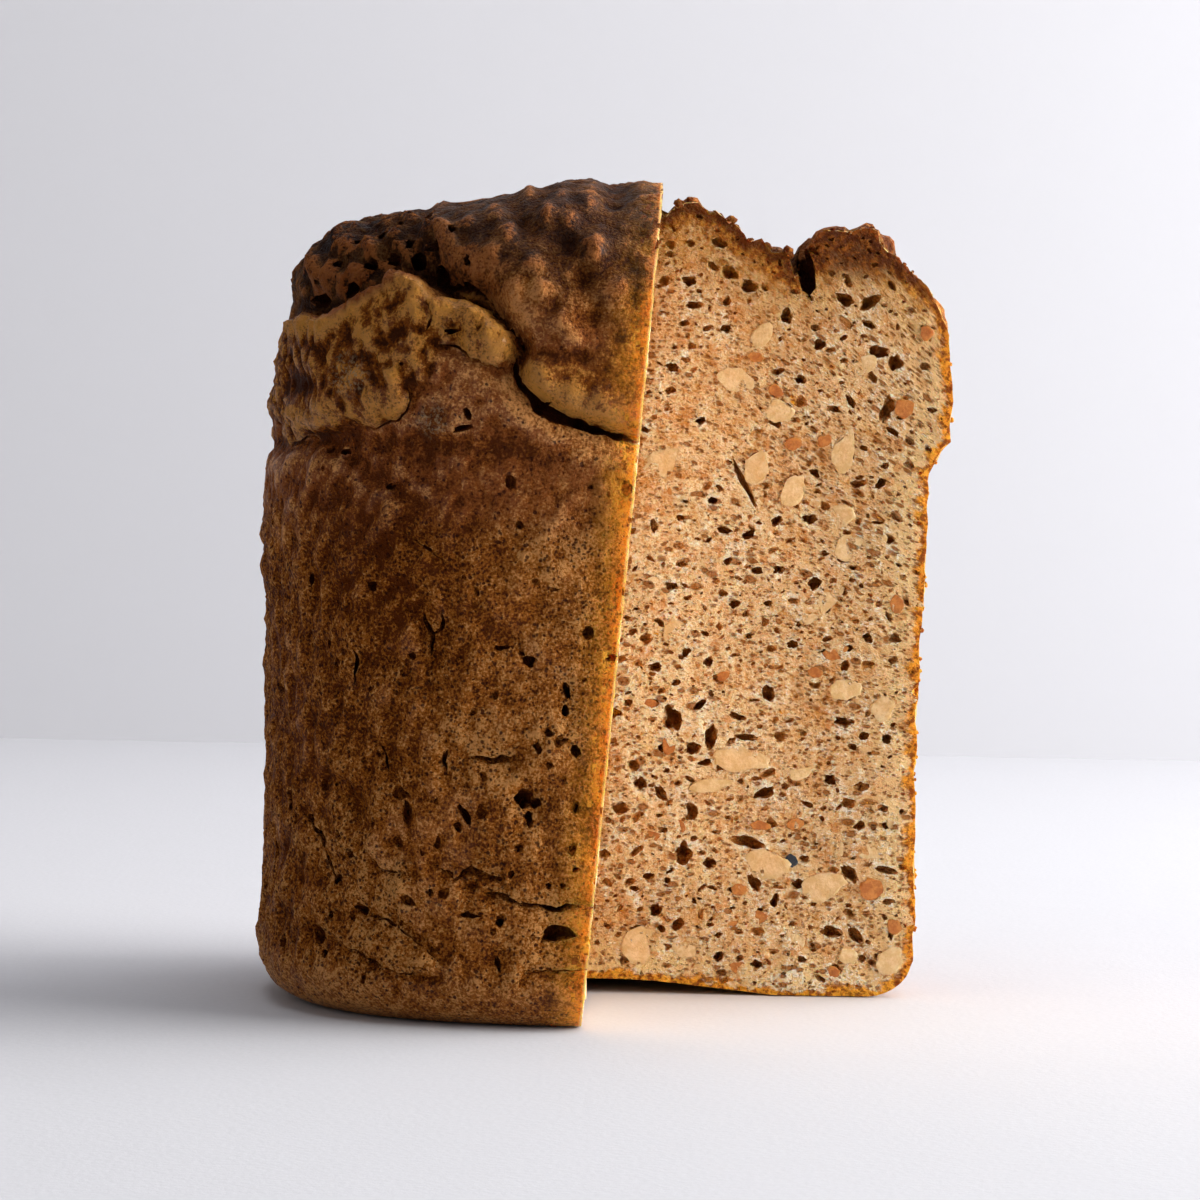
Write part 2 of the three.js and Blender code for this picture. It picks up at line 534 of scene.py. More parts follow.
@dataclass
class CrustRelief:
    """All that stands up from or sinks into the crust, apart from what is cut away with undercut edges."""

    form: LoafForm
    noise: DoughNoise
    eye: Point3 = VIEWPOINT
    front_plane: float = -56.0

    # The torn lobes on the front's left, under a dark hollow: golden, where the crust burst late in the bake.
    torn_outline: tuple[Point2, ...] = (
        (-62, 127), (-57.2, 126.9), (-55.3, 128.6), (-52.6, 127.6), (-50.2, 127.9), (-47.3, 129.8),
        (-44.6, 131.5), (-40.9, 133.7), (-38.8, 135.9), (-34.4, 134.9), (-32.8, 132.8), (-31.6, 131.0),
        (-29, 132), (-25.8, 131.8), (-22.5, 130.3), (-20.3, 127.6), (-17.8, 125), (-16.2, 122.9),
        (-17.6, 120.4), (-21.8, 119.8), (-24.5, 121.1), (-27.8, 123.2), (-31, 123.4), (-32.2, 119.5),
        (-33, 116.6), (-36.8, 115.5), (-36.2, 112.8), (-38.3, 109.5), (-42.5, 108.4), (-46.9, 109.4),
        (-50.6, 106.1), (-54.4, 106.5), (-57.5, 104.6), (-59.2, 109.1), (-64, 111), (-72, 112), (-72, 126),
    )
    # The plate that lifted along the long crack, up to the crown and the leaning cut, and its golden part.
    plate_outline: tuple[Point2, ...] = (
        (-33, 150), (-31.7, 141), (-30.5, 135), (-27.9, 132.8), (-25.3, 133.5), (-22, 130.8), (-17.6, 126.1),
        (-15.4, 124), (-17, 121.2), (-17.7, 118.5), (-15.2, 114.3), (-10.3, 111.1), (-3.8, 108.6),
        (3.3, 106.6), (20, 106), (20, 170), (-34, 170),
    )
    gold_outline: tuple[Point2, ...] = (
        (-17.6, 120.8), (-12.6, 121.6), (-6.7, 121.4), (-3.7, 120.4), (-1.4, 123.2), (1.2, 128.6), (5.5, 135),
        (20, 139), (20, 104), (3.3, 106), (-3.8, 108), (-10.3, 110.6), (-15.6, 114), (-18.2, 118.5),
    )
    hollow_line: tuple[Point2, ...] = (
        (-57, 129.4), (-51.6, 130.3), (-45.7, 133), (-40.5, 137.6), (-35.8, 139.2), (-31.6, 136.4),
        (-27.5, 134.4), (-24, 133),
    )
    ridges: tuple[Ridge, ...] = (
        Ridge(((-57, 126), (-50, 126.6), (-45, 130.2), (-39, 134.4), (-34.5, 133.4), (-32.6, 130.5)),
              1.9, 1.5),
        Ridge(((-31, 130), (-26, 130.6), (-22.4, 128.6), (-19.6, 125.4), (-17.4, 122.6)), 1.5, 1.2),
        Ridge(((-35.4, 130), (-33.8, 127.9), (-34.5, 125.2), (-33.1, 123.1), (-31, 120.4), (-31.6, 117.2)),
              1.2, 1.0),
        Ridge(((-50.5, 125), (-47, 122.4), (-42.8, 122.6), (-39.6, 120), (-37.8, 116.4)), 1.5, 0.7),
        Ridge(((-54, 121.6), (-52.2, 118), (-51.8, 113.6), (-49, 110.4)), 1.4, 0.6),
        Ridge(((-13.7, 121.6), (-9.4, 121.6), (-4.4, 121.2)), 1.0, -0.8),
        Ridge(((-30.5, 136), (-28.5, 133.2), (-25.3, 133.2), (-22, 130.6), (-17.8, 126.1), (-16.1, 122.6),
              (-17.2, 119.6), (-16.4, 116.2), (-13, 112.8), (-10.3, 111.1), (-3.8, 108.6), (3.3, 106.6),
              (8, 106)), 1.3, -2.4),
        Ridge(((-15.4, 86.1), (-10.6, 89.7), (-8.1, 93.7), (-5.9, 95.5)), 1.2, 0.45),
        Ridge(((-50.6, 46), (-48.5, 44.4), (-45.9, 41.5), (-44.1, 37.4)), 1.7, -1.3),
        Ridge(((-47, 102.2), (-41.7, 100.5), (-39, 97.5), (-35.4, 94.9)), 2.2, -1.0),
        Ridge(((-53.6, 86), (-53.2, 80.9), (-52.8, 76)), 1.2, -0.8),
    )
    floury_spots: tuple[tuple[float, float, float], ...] = ((-47, 117.4, 4.6), (-31.8, 109.4, 3.4))
    # Each patch: x, z, reach, and how much paler it is.
    tone_spots: tuple[tuple[float, float, float, float], ...] = (
        (-38, 78, 22, -0.45), (-46, 98, 12, -0.30), (-56, 40, 14, -0.15), (-14, 55, 18, 0.25),
        (-36, 15, 9, 0.30), (-4, 92, 14, 0.20), (-24, 4, 24, -0.22), (-55.1, 115, 4, -0.5),
        (-24, 34, 10, -0.3), (-47, 133, 9, 0.6), (-10, 18, 8, 0.2), (-31, 8.3, 2.2, -0.6),
        (-10.5, 5, 2.2, -0.6), (-41.6, 11.9, 2.0, -0.6),
    )
    # Swells that lie on the crown: x, y, reach, lift.
    crown_swells: tuple[tuple[float, float, float, float], ...] = (
        (-2, -30, 17, 2.4), (-30, -20, 13, -2.8), (-48, -8, 12, 0.4), (-58, -20, 8, 1.2), (-18, 26, 17, 1.4),
        (-44, 26, 10, -2.2), (26, 44, 12, 1.5), (-8, 48, 9, -1.6), (8, 22, 9, -2.0), (29, 22, 12, -4.5),
        (42, 6, 5, 2.2), (49, 7, 4, 1.6), (14, 5, 4, 0.8),
    )
    # Kernels under the plate's skin, and hollows in it, as seen from the front: x, z, reach, lift.
    plate_swells: tuple[tuple[float, float, float, float], ...] = (
        (-3.3, 139.3, 2.5, 2.8), (-4.5, 146.4, 1.7, 1.3), (-9.4, 146.3, 1.7, 1.4), (-12, 144, 1.9, 2.0),
        (-19, 141.7, 2.4, 1.4), (-14, 135.8, 2.3, 1.3), (-9, 127.3, 2.2, 1.3), (-17.2, 132.5, 2.2, 1.1),
        (-12.3, 132.6, 1.9, 1.3), (-6.8, 124.6, 2.2, 0.9), (0.6, 132.9, 2.6, 1.0), (-20.6, 145.4, 1.6, 1.2),
        (-15.3, 147.7, 1.5, 1.2), (-21.6, 138.9, 1.8, 1.1), (-7.5, 143.2, 1.8, 1.3), (-26, 142.5, 2.0, 1.1),
        (-5.5, 134.6, 1.6, -1.4), (-8.2, 139.8, 1.8, -1.3), (0.3, 148, 2.9, -2.4), (-16.4, 143.6, 1.3, -1.2),
        (-10.4, 129.7, 1.5, -1.2), (-3.4, 127.8, 1.8, -1.0), (-12.4, 117, 2.0, 0.8), (-7, 114.6, 2.0, 0.8),
        (-1.6, 114, 2.4, 0.7), (-55.1, 115.1, 3.4, -1.7), (-28.9, 126.2, 1.9, -2.2), (-22.9, 125, 1.3, 1.0),
        (-26.5, 141.5, 1.6, -1.4), (-46.5, 143.8, 2.0, 1.5), (-41.1, 145, 1.8, 1.4), (-36.8, 145.6, 1.7, 1.4),
        (-43.7, 140.1, 1.6, 1.3), (-48.5, 140.6, 1.8, 1.3), (-52.8, 136.2, 2.0, 1.2),
        (-38.9, 141.8, 1.5, 1.4), (-33.5, 143.5, 1.5, 1.5), (-34.6, 140.8, 1.4, 1.1),
        (-30.4, 143.2, 1.3, 1.3),
    )
    # How far the crown stands above its form along the straight cut, by x.
    crown_edge: tuple[Point2, ...] = (
        (2, 0.5), (4, 0.6), (7.6, -1.0), (9, -4.0), (10.4, -3.6), (12, -1.2), (14, 0.1), (17, -0.9),
        (20.3, -1.4), (21.8, -2.9), (24.8, -3.8), (26.8, -6.4), (28.8, -5.1), (31.3, -6.8), (33.8, -6.6),
        (35.8, -9.4), (37.2, -12), (38.6, -5.0), (40, -2.4), (42.5, -1.6), (45.5, -1.8), (47.5, 0.9),
        (50, 1.1), (52.5, -0.2), (56.5, -1.3), (60.5, 0.2), (63, 0.8), (66, 0.4),
    )

    def chart(self, points: Array) -> Array:
        """Gives where each point appears from the front, on the plane of the front crust."""
        share = (self.front_plane - self.eye[1]) / (points[:, 1] - self.eye[1])
        across = self.eye[0] + (points[:, 0] - self.eye[0]) * share
        return np.column_stack([across, self.eye[2] + (points[:, 2] - self.eye[2]) * share])

    def ragged(self, points: Array, grain: float, reach: float) -> Array:
        """Gives the chart with its places shaken, which makes drawn outlines ragged."""
        shake = [self.noise.layered(points + 50 * step, grain, 3) for step in range(2)]
        return self.chart(points) + reach * np.column_stack(shake)

    def front(self, points: Array) -> Array:
        """Says how much each point belongs to the front left quarter that the drawn features lie on."""
        x, y, _ = points.T
        return ease(6, -8, y + 7 * self.noise.layered(points, 11, 3)) * ease(14, 9, x)

    def lobes(self, points: Array) -> Array:
        """Says how much of the front's torn lobes there is at each point, from 0 to 1."""
        inside = inside_depth(self.ragged(points, 4, 0.8), self.torn_outline)
        return ease(-0.3, 0.5, inside) * self.front(points)

    def band(self, points: Array) -> Array:
        """Says how much of the torn band there is above the split, round the sides and the back."""
        thickness = 3.4 + 2.6 * self.noise.layered(points * [1, 1, 0.3], 14, 3)
        rise = points[:, 2] - self.split_line(points)
        return ease(-0.4, 0.4, rise) * ease(thickness + 1.2, thickness - 0.8, rise) * (1 - self.front(points))

    def torn(self, points: Array) -> Array:
        """Says how golden each point is, as torn crust is, from 0 to 1."""
        inside = inside_depth(self.ragged(points, 7, 1.6), self.gold_outline)
        gold = 0.9 * ease(-0.8, 2.5, inside) * self.front(points)
        return np.maximum.reduce([self.lobes(points), gold, self.band(points)])

    def plate(self, points: Array) -> Array:
        """Says how much of the lifted plate there is at each point, from 0 to 1."""
        inside = inside_depth(self.ragged(points, 4, 0.5), self.plate_outline)
        return ease(-0.3, 0.4, inside) * self.front(points)

    def split_line(self, points: Array) -> Array:
        """Gives the height at which the wall split from the shoulder, all round the loaf."""
        return self.form.split_height + 1.2 + 1.8 * self.noise.layered(points * [1, 1, 0], 26, 3)

    def hollow(self, points: Array) -> Array:
        """Says how deep in the dark hollow above the torn lobes each point is, from 0 to 1."""
        distance, _ = line_distance(self.ragged(points, 4, 0.9), self.hollow_line)
        clear = self.front(points) * (1 - self.lobes(points)) * ease(-64, -55, points[:, 0])
        return bell(distance, 3.3) * clear

    def burnt(self, points: Array) -> Array:
        """Says how darkly each point is baked, from 0 to 1, with painted shade added in the hollow above the
        torn lobes.
        """
        plate = self.plate(points)
        height = 0.9 * ease(114, 142, points[:, 2] + 7 * self.noise.layered(points, 14, 3)) * (1 - plate)
        left_lump = ease(129, 135, points[:, 2]) * ease(-27, -33, points[:, 0]) * self.front(points)
        plate_top = 0.95 * ease(118, 142, points[:, 2] + 5 * self.noise.layered(points, 6, 3)) * plate
        # The hollow's share is painted shade in the cavity under the left lump, not baking.
        dark = np.maximum.reduce([height, left_lump, plate_top, 1.5 * self.hollow(points)])
        return np.clip(dark * (1 - 0.9 * self.torn(points)), 0, 1)

    def floury(self, points: Array) -> Array:
        """Says how pale and grainy each point is, from 0 to 1."""
        total = np.zeros(len(points))
        spots = self.ragged(points, 3, 1.2)
        for x, z, reach in self.floury_spots:
            total = np.maximum(total, ease(reach, reach * 0.5, np.hypot(spots[:, 0] - x, spots[:, 1] - z)))
        return total * self.front(points)

    def tone(self, points: Array) -> Array:
        """Says how pale the brown is in broad patches, where 0.5 is its middle."""
        total = np.full(len(points), 0.5)
        spots = self.ragged(points, 8, 1.0)
        for x, z, reach, rise in self.tone_spots:
            total += rise * bell(np.hypot(spots[:, 0] - x, spots[:, 1] - z), reach)
        return np.clip(total, 0, 1)

    def rosy(self, points: Array) -> Array:
        """Says how rosy and smooth the crust under the split is, from 0 to 1."""
        height = points[:, 2] + 4 * self.noise.layered(points, 15, 2)
        return ease(84, 98, height) * ease(134, 124, height)

    def smooth(self, points: Array) -> Array:
        """Says where the crust is smooth and faintly shiny, without pinholes, from 0 to 1."""
        foot = 0.7 * ease(12, 5, points[:, 2] + 4 * self.noise.layered(points, 9, 3))
        bare = 0.7 * ease(0.12, 0.34, self.noise.layered(points + 40, 17, 3))
        return np.maximum.reduce([foot, bare, self.rosy(points), self.plate(points), 0.7 * self.torn(points)])

    def height(self, points: Array, creases: Sequence[Crease], pits: Sequence[Pit]) -> Array:
        """Sums the relief.

        Args:
            points: Places on the unbroken form.
            creases: The crust's cracks and folds, which lie in soft valleys and whose lips stand up.
            pits: The crust's pits, which lie in soft dents.

        Returns:
            How far out along its normal each point moves.
        """
        (x, y, z), noise = points.T, self.noise
        on_crown, on_wall, front = ease(118, 138, z), ease(0.5, 7, z), self.front(points)
        lobes, plate, band = self.lobes(points), self.plate(points), self.band(points)
        torn = np.maximum(lobes, band)
        spots, facing = self.chart(points), front * ease(-10, -26, y)
        # The broad unevenness, and the swells on the crown and under the plate.
        total = 0.45 * noise.layered(points, 34, 2) * on_wall
        total += (0.50 * noise.layered(points, 7, 3) + 0.30 * noise.layered(points, 2.6, 2)) * on_wall
        for at_x, at_y, reach, lift in self.crown_swells:
            total += lift * bell(np.hypot(x - at_x, y - at_y), reach) * ease(112, 134, z)
        for at_x, at_z, reach, lift in self.plate_swells:
            total += lift * bell(np.hypot(spots[:, 0] - at_x, spots[:, 1] - at_z), reach) * facing
        for ridge in self.ridges:
            distance, _ = line_distance(self.ragged(points, 3, 0.5), ridge.line)
            total += ridge.lift * bell(distance, ridge.reach) * front
        # What burst: the torn lobes, the lifted plate, the band and notch of the split, and the dark hollow.
        front_left = ease(30, -10, y) * ease(-36, -54, x)
        near_cuts = np.maximum(front_left, ease(24, 8, y))
        step = 1 - 0.78 * near_cuts
        notch = bell(z - self.split_line(points), 1.5) * step
        soft_lobes = lobes * ease(-0.5, 4.5, inside_depth(self.ragged(points, 5, 1.6), self.torn_outline))
        burst = (0.3 * lobes + 1.1 * soft_lobes) * ease(-66, -54, x)
        total += 1.6 * plate + burst + 1.4 * band * step - 2.3 * notch - 5.5 * self.hollow(points)
        # The folds of the torn crust, and the knobs of the crown.
        folds = 1 - np.abs(noise.layered(points * [1, 1, 0.7], 7.5, 3, 0.55)) * 2.2
        flakes = 1 - np.abs(noise.layered(points + 90, 3.2, 3, 0.6)) * 2.2
        total += torn * (0.9 * folds + 0.4 * flakes + 0.4 * noise.layered(points, 1.9, 3, 0.7))
        smooth_skin = 1 - 0.55 * plate
        knobs = ease(0.5, 0.0, np.abs(noise.layered(points, 8, 2)))
        rough = 0.8 * noise.layered(points, 6.0, 4, 0.62) + 0.8 * knobs + 0.25 * noise.layered(points, 1.8, 2)
        total += on_crown * (1 - torn) * smooth_skin * rough
        left_lump = ease(131, 138, z) * ease(-29, -34, x) * front
        total += left_lump * 0.7 * noise.layered(points, 3.0, 3, 0.7)
        # The crown's own outline along the straight cut, which fades out behind it.
        edge_x, edge_lift = np.array(self.crown_edge).T
        near_edge = ease(118, 131, z) * ease(-8, -2, y) * ease(4, 6, x)
        run_back = 0.25 + 0.75 * ease(26, 8, y)
        wander = 5.0 * noise.layered(points, 9, 2) * ease(1, 10, y)
        total += near_edge * run_back * np.interp(x + wander, edge_x, edge_lift)
        crumbly = near_edge * ease(12, 6, y) * ease(63, 58, x)
        total += crumbly * 0.45 * noise.layered(points, 2.2, 2)
        # Soft valleys and lips along the creases, and dents round the pits.
        bent = self.ragged(points, 5, 0.7)
        for crease in creases:
            distance, side = line_distance(bent, crease.line)
            total -= (0.45 + 0.5 * crease.width) * bell(distance, 1.0 + 0.6 * crease.width) * front
            if crease.lip:
                raised = ease(crease.lip_reach, 0.0, distance) * ease(-0.1, 0.5, distance * side)
                total += 1.5 * crease.lip * raised * front
        for pit in pits:
            away = np.hypot(bent[:, 0] - pit.x, bent[:, 1] - pit.z)
            size = 0.5 * math.sqrt(pit.across * pit.high)
            total -= min(0.55 * size, 1.0) * bell(away, 0.6 + 0.9 * size) * front
        # The ruffled left side, its sunken shoulder, and the skin's own grain.
        streaks = points @ np.array([[0.8, 0, 0.5], [0, 1, 0], [-0.5, 0, 0.35]])
        ruffle = ease(-12, -40, x) * ease(118, 96, z) * on_wall * ease(24, 6, y)
        shoulder = ease(-52, -63, x) * ease(104, 120, z) * ease(140, 128, z)
        total -= 2.6 * shoulder * ease(26, 6, y)
        skin = 0.16 * noise.layered(points, 1.3, 2, 0.7) + 0.12 * noise.layered(points * [1, 1, 0.5], 4, 2)
        total += skin * on_wall
        return total + ruffle * (0.85 * noise.layered(streaks, 5, 3) + 0.7 * noise.layered(streaks, 2.4, 2))


# --- The bread ---


@dataclass
class BreadBody:
    """The loaf's one closed body: its crust, cracks and pits, and its two cut faces with their pores."""

    form: LoafForm
    cuts: KnifeCuts
    relief: CrustRelief
    noise: DoughNoise
    seed: int = 11
    base_triangles: int = 96_000
    most_triangles: int = 196_000

    creases: tuple[Crease, ...] = (
        # the long crack under the plate
        Crease(((-31.5, 137), (-29.5, 133.2), (-25.3, 133.2), (-22, 130.6), (-17.8, 126.1), (-15.9, 123.6)),
               2.4, 6.5, undercut=0.4),
        Crease(((-16.4, 122.4), (-17.4, 119.6), (-16.4, 116.2), (-13, 112.8), (-10.3, 111.1), (-3.8, 108.6),
               (3.3, 106.6), (7, 106)), 2.4, 7.5, undercut=0.5),
        # under the second torn lobe, and between the two
        Crease(((-31.5, 123), (-27.8, 122.8), (-24.5, 120.8), (-21.8, 119.5), (-17, 119.8)),
               1.0, 3.0, undercut=0.4),
        Crease(((-33.4, 131), (-32.6, 128), (-33.4, 125.6)), 0.8, 2.0),
        # under the first torn lobe
        Crease(((-60.4, 113), (-59.8, 108.6), (-57.4, 104.4), (-54.4, 106.2), (-50.6, 105.8)),
               0.8, 2.2, undercut=0.7),
        Crease(((-46.9, 109), (-42.5, 108), (-38.3, 109.2), (-36, 112.6), (-36.4, 115.4)),
               0.7, 2.0, undercut=0.5),
        # the wall's ledge and folds
        Crease(((-29.4, 29.1), (-26.8, 27.2), (-23.5, 27.5), (-20.1, 27.8), (-17.6, 27)),
               1.5, 3.2, lip=1.0, lip_reach=2.0, undercut=0.7),
        Crease(((-23.5, 26.9), (-20.5, 24.9), (-17.1, 23.5), (-14.6, 22.7), (-8.3, 22.4), (-4.6, 22.6),
               (1, 22.7)), 1.3, 3.8, lip=0.9, undercut=0.3),
        Crease(((-44.2, 20.2), (-38.8, 19.6), (-35.4, 17.5), (-31.2, 14.2), (-28.6, 11.3)),
               0.6, 1.6, lip=-0.7),
        Crease(((-48.3, 16.4), (-44.5, 13.9), (-41.1, 11.9), (-37.8, 10.3), (-32.7, 9.6), (-29, 9.4)),
               0.7, 1.6, lip=0.8, lip_reach=5),
        Crease(((-14.3, 9.5), (-13.1, 10.8), (-8.5, 10.8), (-3.5, 11.2), (1, 12)),
               0.6, 1.6, lip=0.8, lip_reach=4),
        Crease(((-54.2, 38.8), (-52.1, 36.4), (-50.3, 34.3), (-49.4, 30.6), (-47.7, 26)),
               0.9, 2.4, lip=0.7, lip_reach=3),
        Crease(((-43.7, 34), (-41.9, 30.7), (-40.6, 29.3), (-37.7, 28.3), (-33.5, 28.2)),
               0.7, 2.0, lip=0.8, lip_reach=3),
        Crease(((-24.4, 49.2), (-20.5, 48.7), (-16.4, 49.3)), 1.9, 3.0, lip=1.0, lip_reach=1.5, undercut=0.7),
        Crease(((-32.9, 75.4), (-32.2, 72.6), (-31, 70.6), (-31.4, 67.2)), 1.3, 2.8),
        Crease(((-31.2, 71.2), (-29.7, 72.1), (-29.5, 75)), 1.1, 2.4),
        Crease(((-45.5, 68.2), (-44.8, 66.1), (-45.4, 61.4)), 0.9, 2.6),
        Crease(((-36.2, 89.2), (-32.6, 86.6), (-29.5, 84.5)), 0.6, 1.3, lip=0.6),
        Crease(((-28.4, 50.6), (-29, 48.2), (-28.2, 46.2)), 1.0, 2.2),
        Crease(((-40.4, 51.4), (-38.9, 48.6), (-38.6, 46.2)), 0.6, 1.8),
    )
    front_pits: tuple[Pit, ...] = tuple(Pit(*sizes) for sizes in (
        # the wall's
        (-13.7, 66.7, 2.5, 2.6, 2.4), (-15.2, 68.2, 1.0, 1.6, 1.2, 40), (-14.2, 42.0, 3.6, 3.6, 3.2, -20),
        (-12.4, 41.0, 2.8, 2.2, 2.4), (-13.4, 38.2, 1.9, 3.4, 2.8), (-48.6, 65.2, 1.6, 3.2, 2.0),
        (-42.2, 79.6, 2.2, 1.8, 2.0), (-7.0, 61.4, 1.5, 3.6, 2.6, 20), (-7.3, 57.9, 1.6, 2.2, 2.4, 20),
        (-5.1, 50.6, 2.0, 2.4, 2.4), (-7.4, 52.4, 2.2, 1.0, 1.6, 20), (-10.2, 53.9, 1.7, 1.6, 1.8),
        (-12.2, 51.2, 1.5, 2.8, 1.8, 10), (-35.2, 39.2, 1.5, 4.8, 2.6, 4), (-36.4, 42.4, 3.0, 2.4, 1.2),
        (-24.9, 38.8, 1.6, 4.4, 2.4, 28), (-26.2, 36.6, 1.6, 2.0, 1.8), (-8.2, 17.4, 7.6, 3.0, 2.4, 6),
        (-18.3, 19.7, 1.7, 2.2, 2.2), (-18.6, 12, 1.1, 3.4, 1.8, 12), (-23.5, 20.7, 4.0, 1.6, 1.6),
        (-43, 21.4, 3.0, 2.0, 2.2, -20), (-48.8, 20.2, 1.0, 1.9, 1.8), (-50.6, 16.5, 3.0, 3.2, 2.6),
        (-49.8, 13.4, 2.4, 1.8, 2.2), (-57.1, 15.3, 2.8, 3.4, 2.8, 20), (-41.2, 12, 2.0, 1.0, 1.0, -30),
        (-52.5, 37.8, 2.2, 2.0, 2.2, -20), (-56.3, 41, 1.4, 3.6, 2.0), (-55.4, 37.4, 1.2, 2.6, 1.8),
        (-58.6, 32, 1.5, 4.4, 2.2), (-54.6, 31, 1.3, 3.6, 1.8, 10), (-47.8, 34.8, 1.1, 2.4, 1.6, 30),
        (-45.3, 31.2, 1.8, 2.0, 1.8), (-47.6, 26.8, 1.9, 2.6, 2.2), (-16.3, 28.2, 1.2, 1.6, 1.4),
        (-4.8, 29.2, 1.8, 1.0, 1.4, 20), (-9.6, 26.3, 1.1, 1.2, 1.4), (-7.1, 26.4, 1.2, 1.2, 1.4),
        (-4.9, 40.6, 1.3, 2.4, 1.6), (-19, 69, 3.2, 1.2, 1.2), (-9.5, 79.6, 1.8, 0.9, 1.2),
        (-34.9, 67.2, 1.8, 1.6, 1.4), (-49.9, 69.1, 1.3, 1.8, 1.6), (0.8, 67.6, 2.2, 1.5, 2.4),
        (-53.2, 80.6, 1.0, 3.2, 1.6), (-29.7, 33.6, 1.4, 2.0, 1.0), (-3.4, 98.2, 1.2, 0.9, 1.0),
        (-35, 23.2, 3.2, 1.8, 1.2, -20), (-31.0, 24.6, 1.4, 1.4, 1.4), (-1.4, 16.2, 2.2, 1.2, 1.2),
        # under and between the torn lobes
        (-25.8, 110.9, 1.6, 2.8, 2.8, 20), (-26.7, 108.2, 3.4, 1.3, 2.4, 20), (-24.0, 126.5, 0.9, 1.2, 2.2),
        (-50, 104, 1.6, 1.6, 1.8), (-47.4, 103.6, 2.2, 1.4, 2.0), (-39.2, 97.6, 2.0, 1.4, 1.4),
        (-29.0, 125.6, 2.4, 1.2, 2.4), (-37.8, 119.6, 1.0, 0.8, 1.2), (-11.4, 113.0, 2.4, 1.0, 1.6, 20),
        # the burnt hollow and the lump above it
        (-52.0, 130.6, 6.4, 2.8, 4.6, 10), (-46.6, 132.4, 4.4, 2.6, 4.6, 25), (-43.4, 137, 2.8, 2.4, 3.2),
        (-39.4, 138.0, 3.4, 2.2, 3.6), (-34.6, 137.8, 3.4, 3.4, 4.6), (-30.4, 135.6, 4.0, 3.8, 5.0),
        (-25.6, 133.4, 3.0, 2.2, 3.4, -30), (-36.8, 141.2, 1.8, 2.0, 2.4), (-41.6, 142.4, 1.7, 1.5, 2.2),
        (-45.8, 141.4, 1.6, 1.5, 2.0), (-49.4, 137.2, 1.8, 1.6, 2.0), (-53.2, 133.8, 1.4, 1.2, 1.6),
        (-31.8, 141.0, 2.2, 2.6, 3.4), (-29.2, 144.2, 1.8, 1.6, 2.6), (-38.4, 144.8, 1.3, 1.0, 1.6),
        (-47.6, 138.6, 1.3, 1.1, 1.6), (-26.4, 138.4, 1.6, 2.2, 2.2), (-33.8, 146.0, 1.4, 1.2, 1.8),
    ))
    # Pores of the straight cut face that stand out by their size: x, z, length, width, tilt in degrees.
    great_pores: tuple[tuple[float, float, float, float, float], ...] = (
        (28.1, 29.5, 6.6, 2.2, -16), (15.6, 27.3, 3.6, 4.2, 0), (13.2, 53.3, 3.6, 5.4, 10),
        (44.6, 12.4, 4.4, 2.2, -8), (49.4, 11.8, 3.8, 1.8, -50), (31.2, 39.2, 4.2, 2.2, 28),
        (40.1, 79.9, 2.6, 2.4, 0), (31.4, 58.5, 2.6, 3.2, 20), (47.9, 23.9, 4.4, 2.2, -45),
        (54.8, 24.6, 4.4, 1.5, -12), (53.3, 113.7, 4.8, 2.2, 78), (51.6, 124.6, 4.2, 2.6, -10),
        (54.6, 122.6, 2.6, 3.2, 0), (22.5, 89.8, 3.2, 1.5, -15), (27.1, 89.1, 2.6, 1.8, 20),
        (38.7, 92.2, 3.0, 2.2, 0), (32.5, 91.9, 2.6, 1.8, 30), (40.1, 125.8, 2.6, 2.2, 0),
        (15.7, 133.0, 3.2, 1.8, 0), (26.0, 136.9, 3.4, 2.8, -20), (25.9, 99.2, 10.4, 1.3, -62),
        (17.1, 47.6, 3.0, 2.6, -20), (11.1, 38.7, 3.2, 1.8, -50), (7.0, 40.4, 2.6, 2.4, 0),
        (17.3, 35.3, 3.4, 2.2, -60), (20.8, 25.4, 2.6, 2.0, -20), (29.5, 21.9, 3.6, 2.2, -50),
        (33.6, 18.3, 2.6, 1.8, 70), (38.1, 21.6, 2.4, 2.0, 0), (10.6, 16.0, 2.6, 2.2, 30),
        (22.9, 7.3, 2.4, 1.8, 30), (30.3, 5.9, 2.4, 1.8, -20), (45.9, 53.2, 3.4, 2.0, -10),
        (27.6, 49.8, 4.0, 1.6, -4), (25.5, 53.9, 3.4, 1.4, -20), (43.8, 41.9, 2.4, 2.0, 0),
        (54.5, 50.1, 2.0, 2.0, 0), (20.5, 49.8, 4.8, 2.6, 82), (14.6, 137.6, 2.8, 2.2, 0),
        (22.4, 139.4, 3.6, 2.4, -30), (33.6, 131.2, 2.4, 3.0, 0), (44.8, 134.6, 3.6, 2.4, -30),
        (49.2, 134.2, 4.0, 2.6, 30), (20.4, 145.0, 3.4, 1.8, -20), (60.2, 59, 1.8, 2.6, 0),
        (9.6, 63.2, 2.6, 1.8, 0), (19.8, 64.4, 2.4, 1.8, 40), (36.0, 68.0, 2.6, 1.6, 10),
        (50.4, 69.6, 2.4, 1.6, -30), (24.6, 75.6, 2.2, 1.8, 0), (12.4, 78.8, 2.6, 1.6, 0),
        (33.0, 82.4, 2.4, 1.6, 20), (52.4, 99.4, 2.6, 1.6, 50), (39.6, 101.2, 2.4, 1.6, -40),
        (17.4, 110.8, 2.6, 1.6, 10), (20.0, 95.4, 2.2, 1.6, 0), (46.2, 115.2, 3.2, 1.4, -60),
        (36.4, 119.0, 2.2, 1.6, 0), (11.8, 121.0, 2.6, 1.8, 0), (22.0, 128.6, 2.4, 1.6, 10),
    )

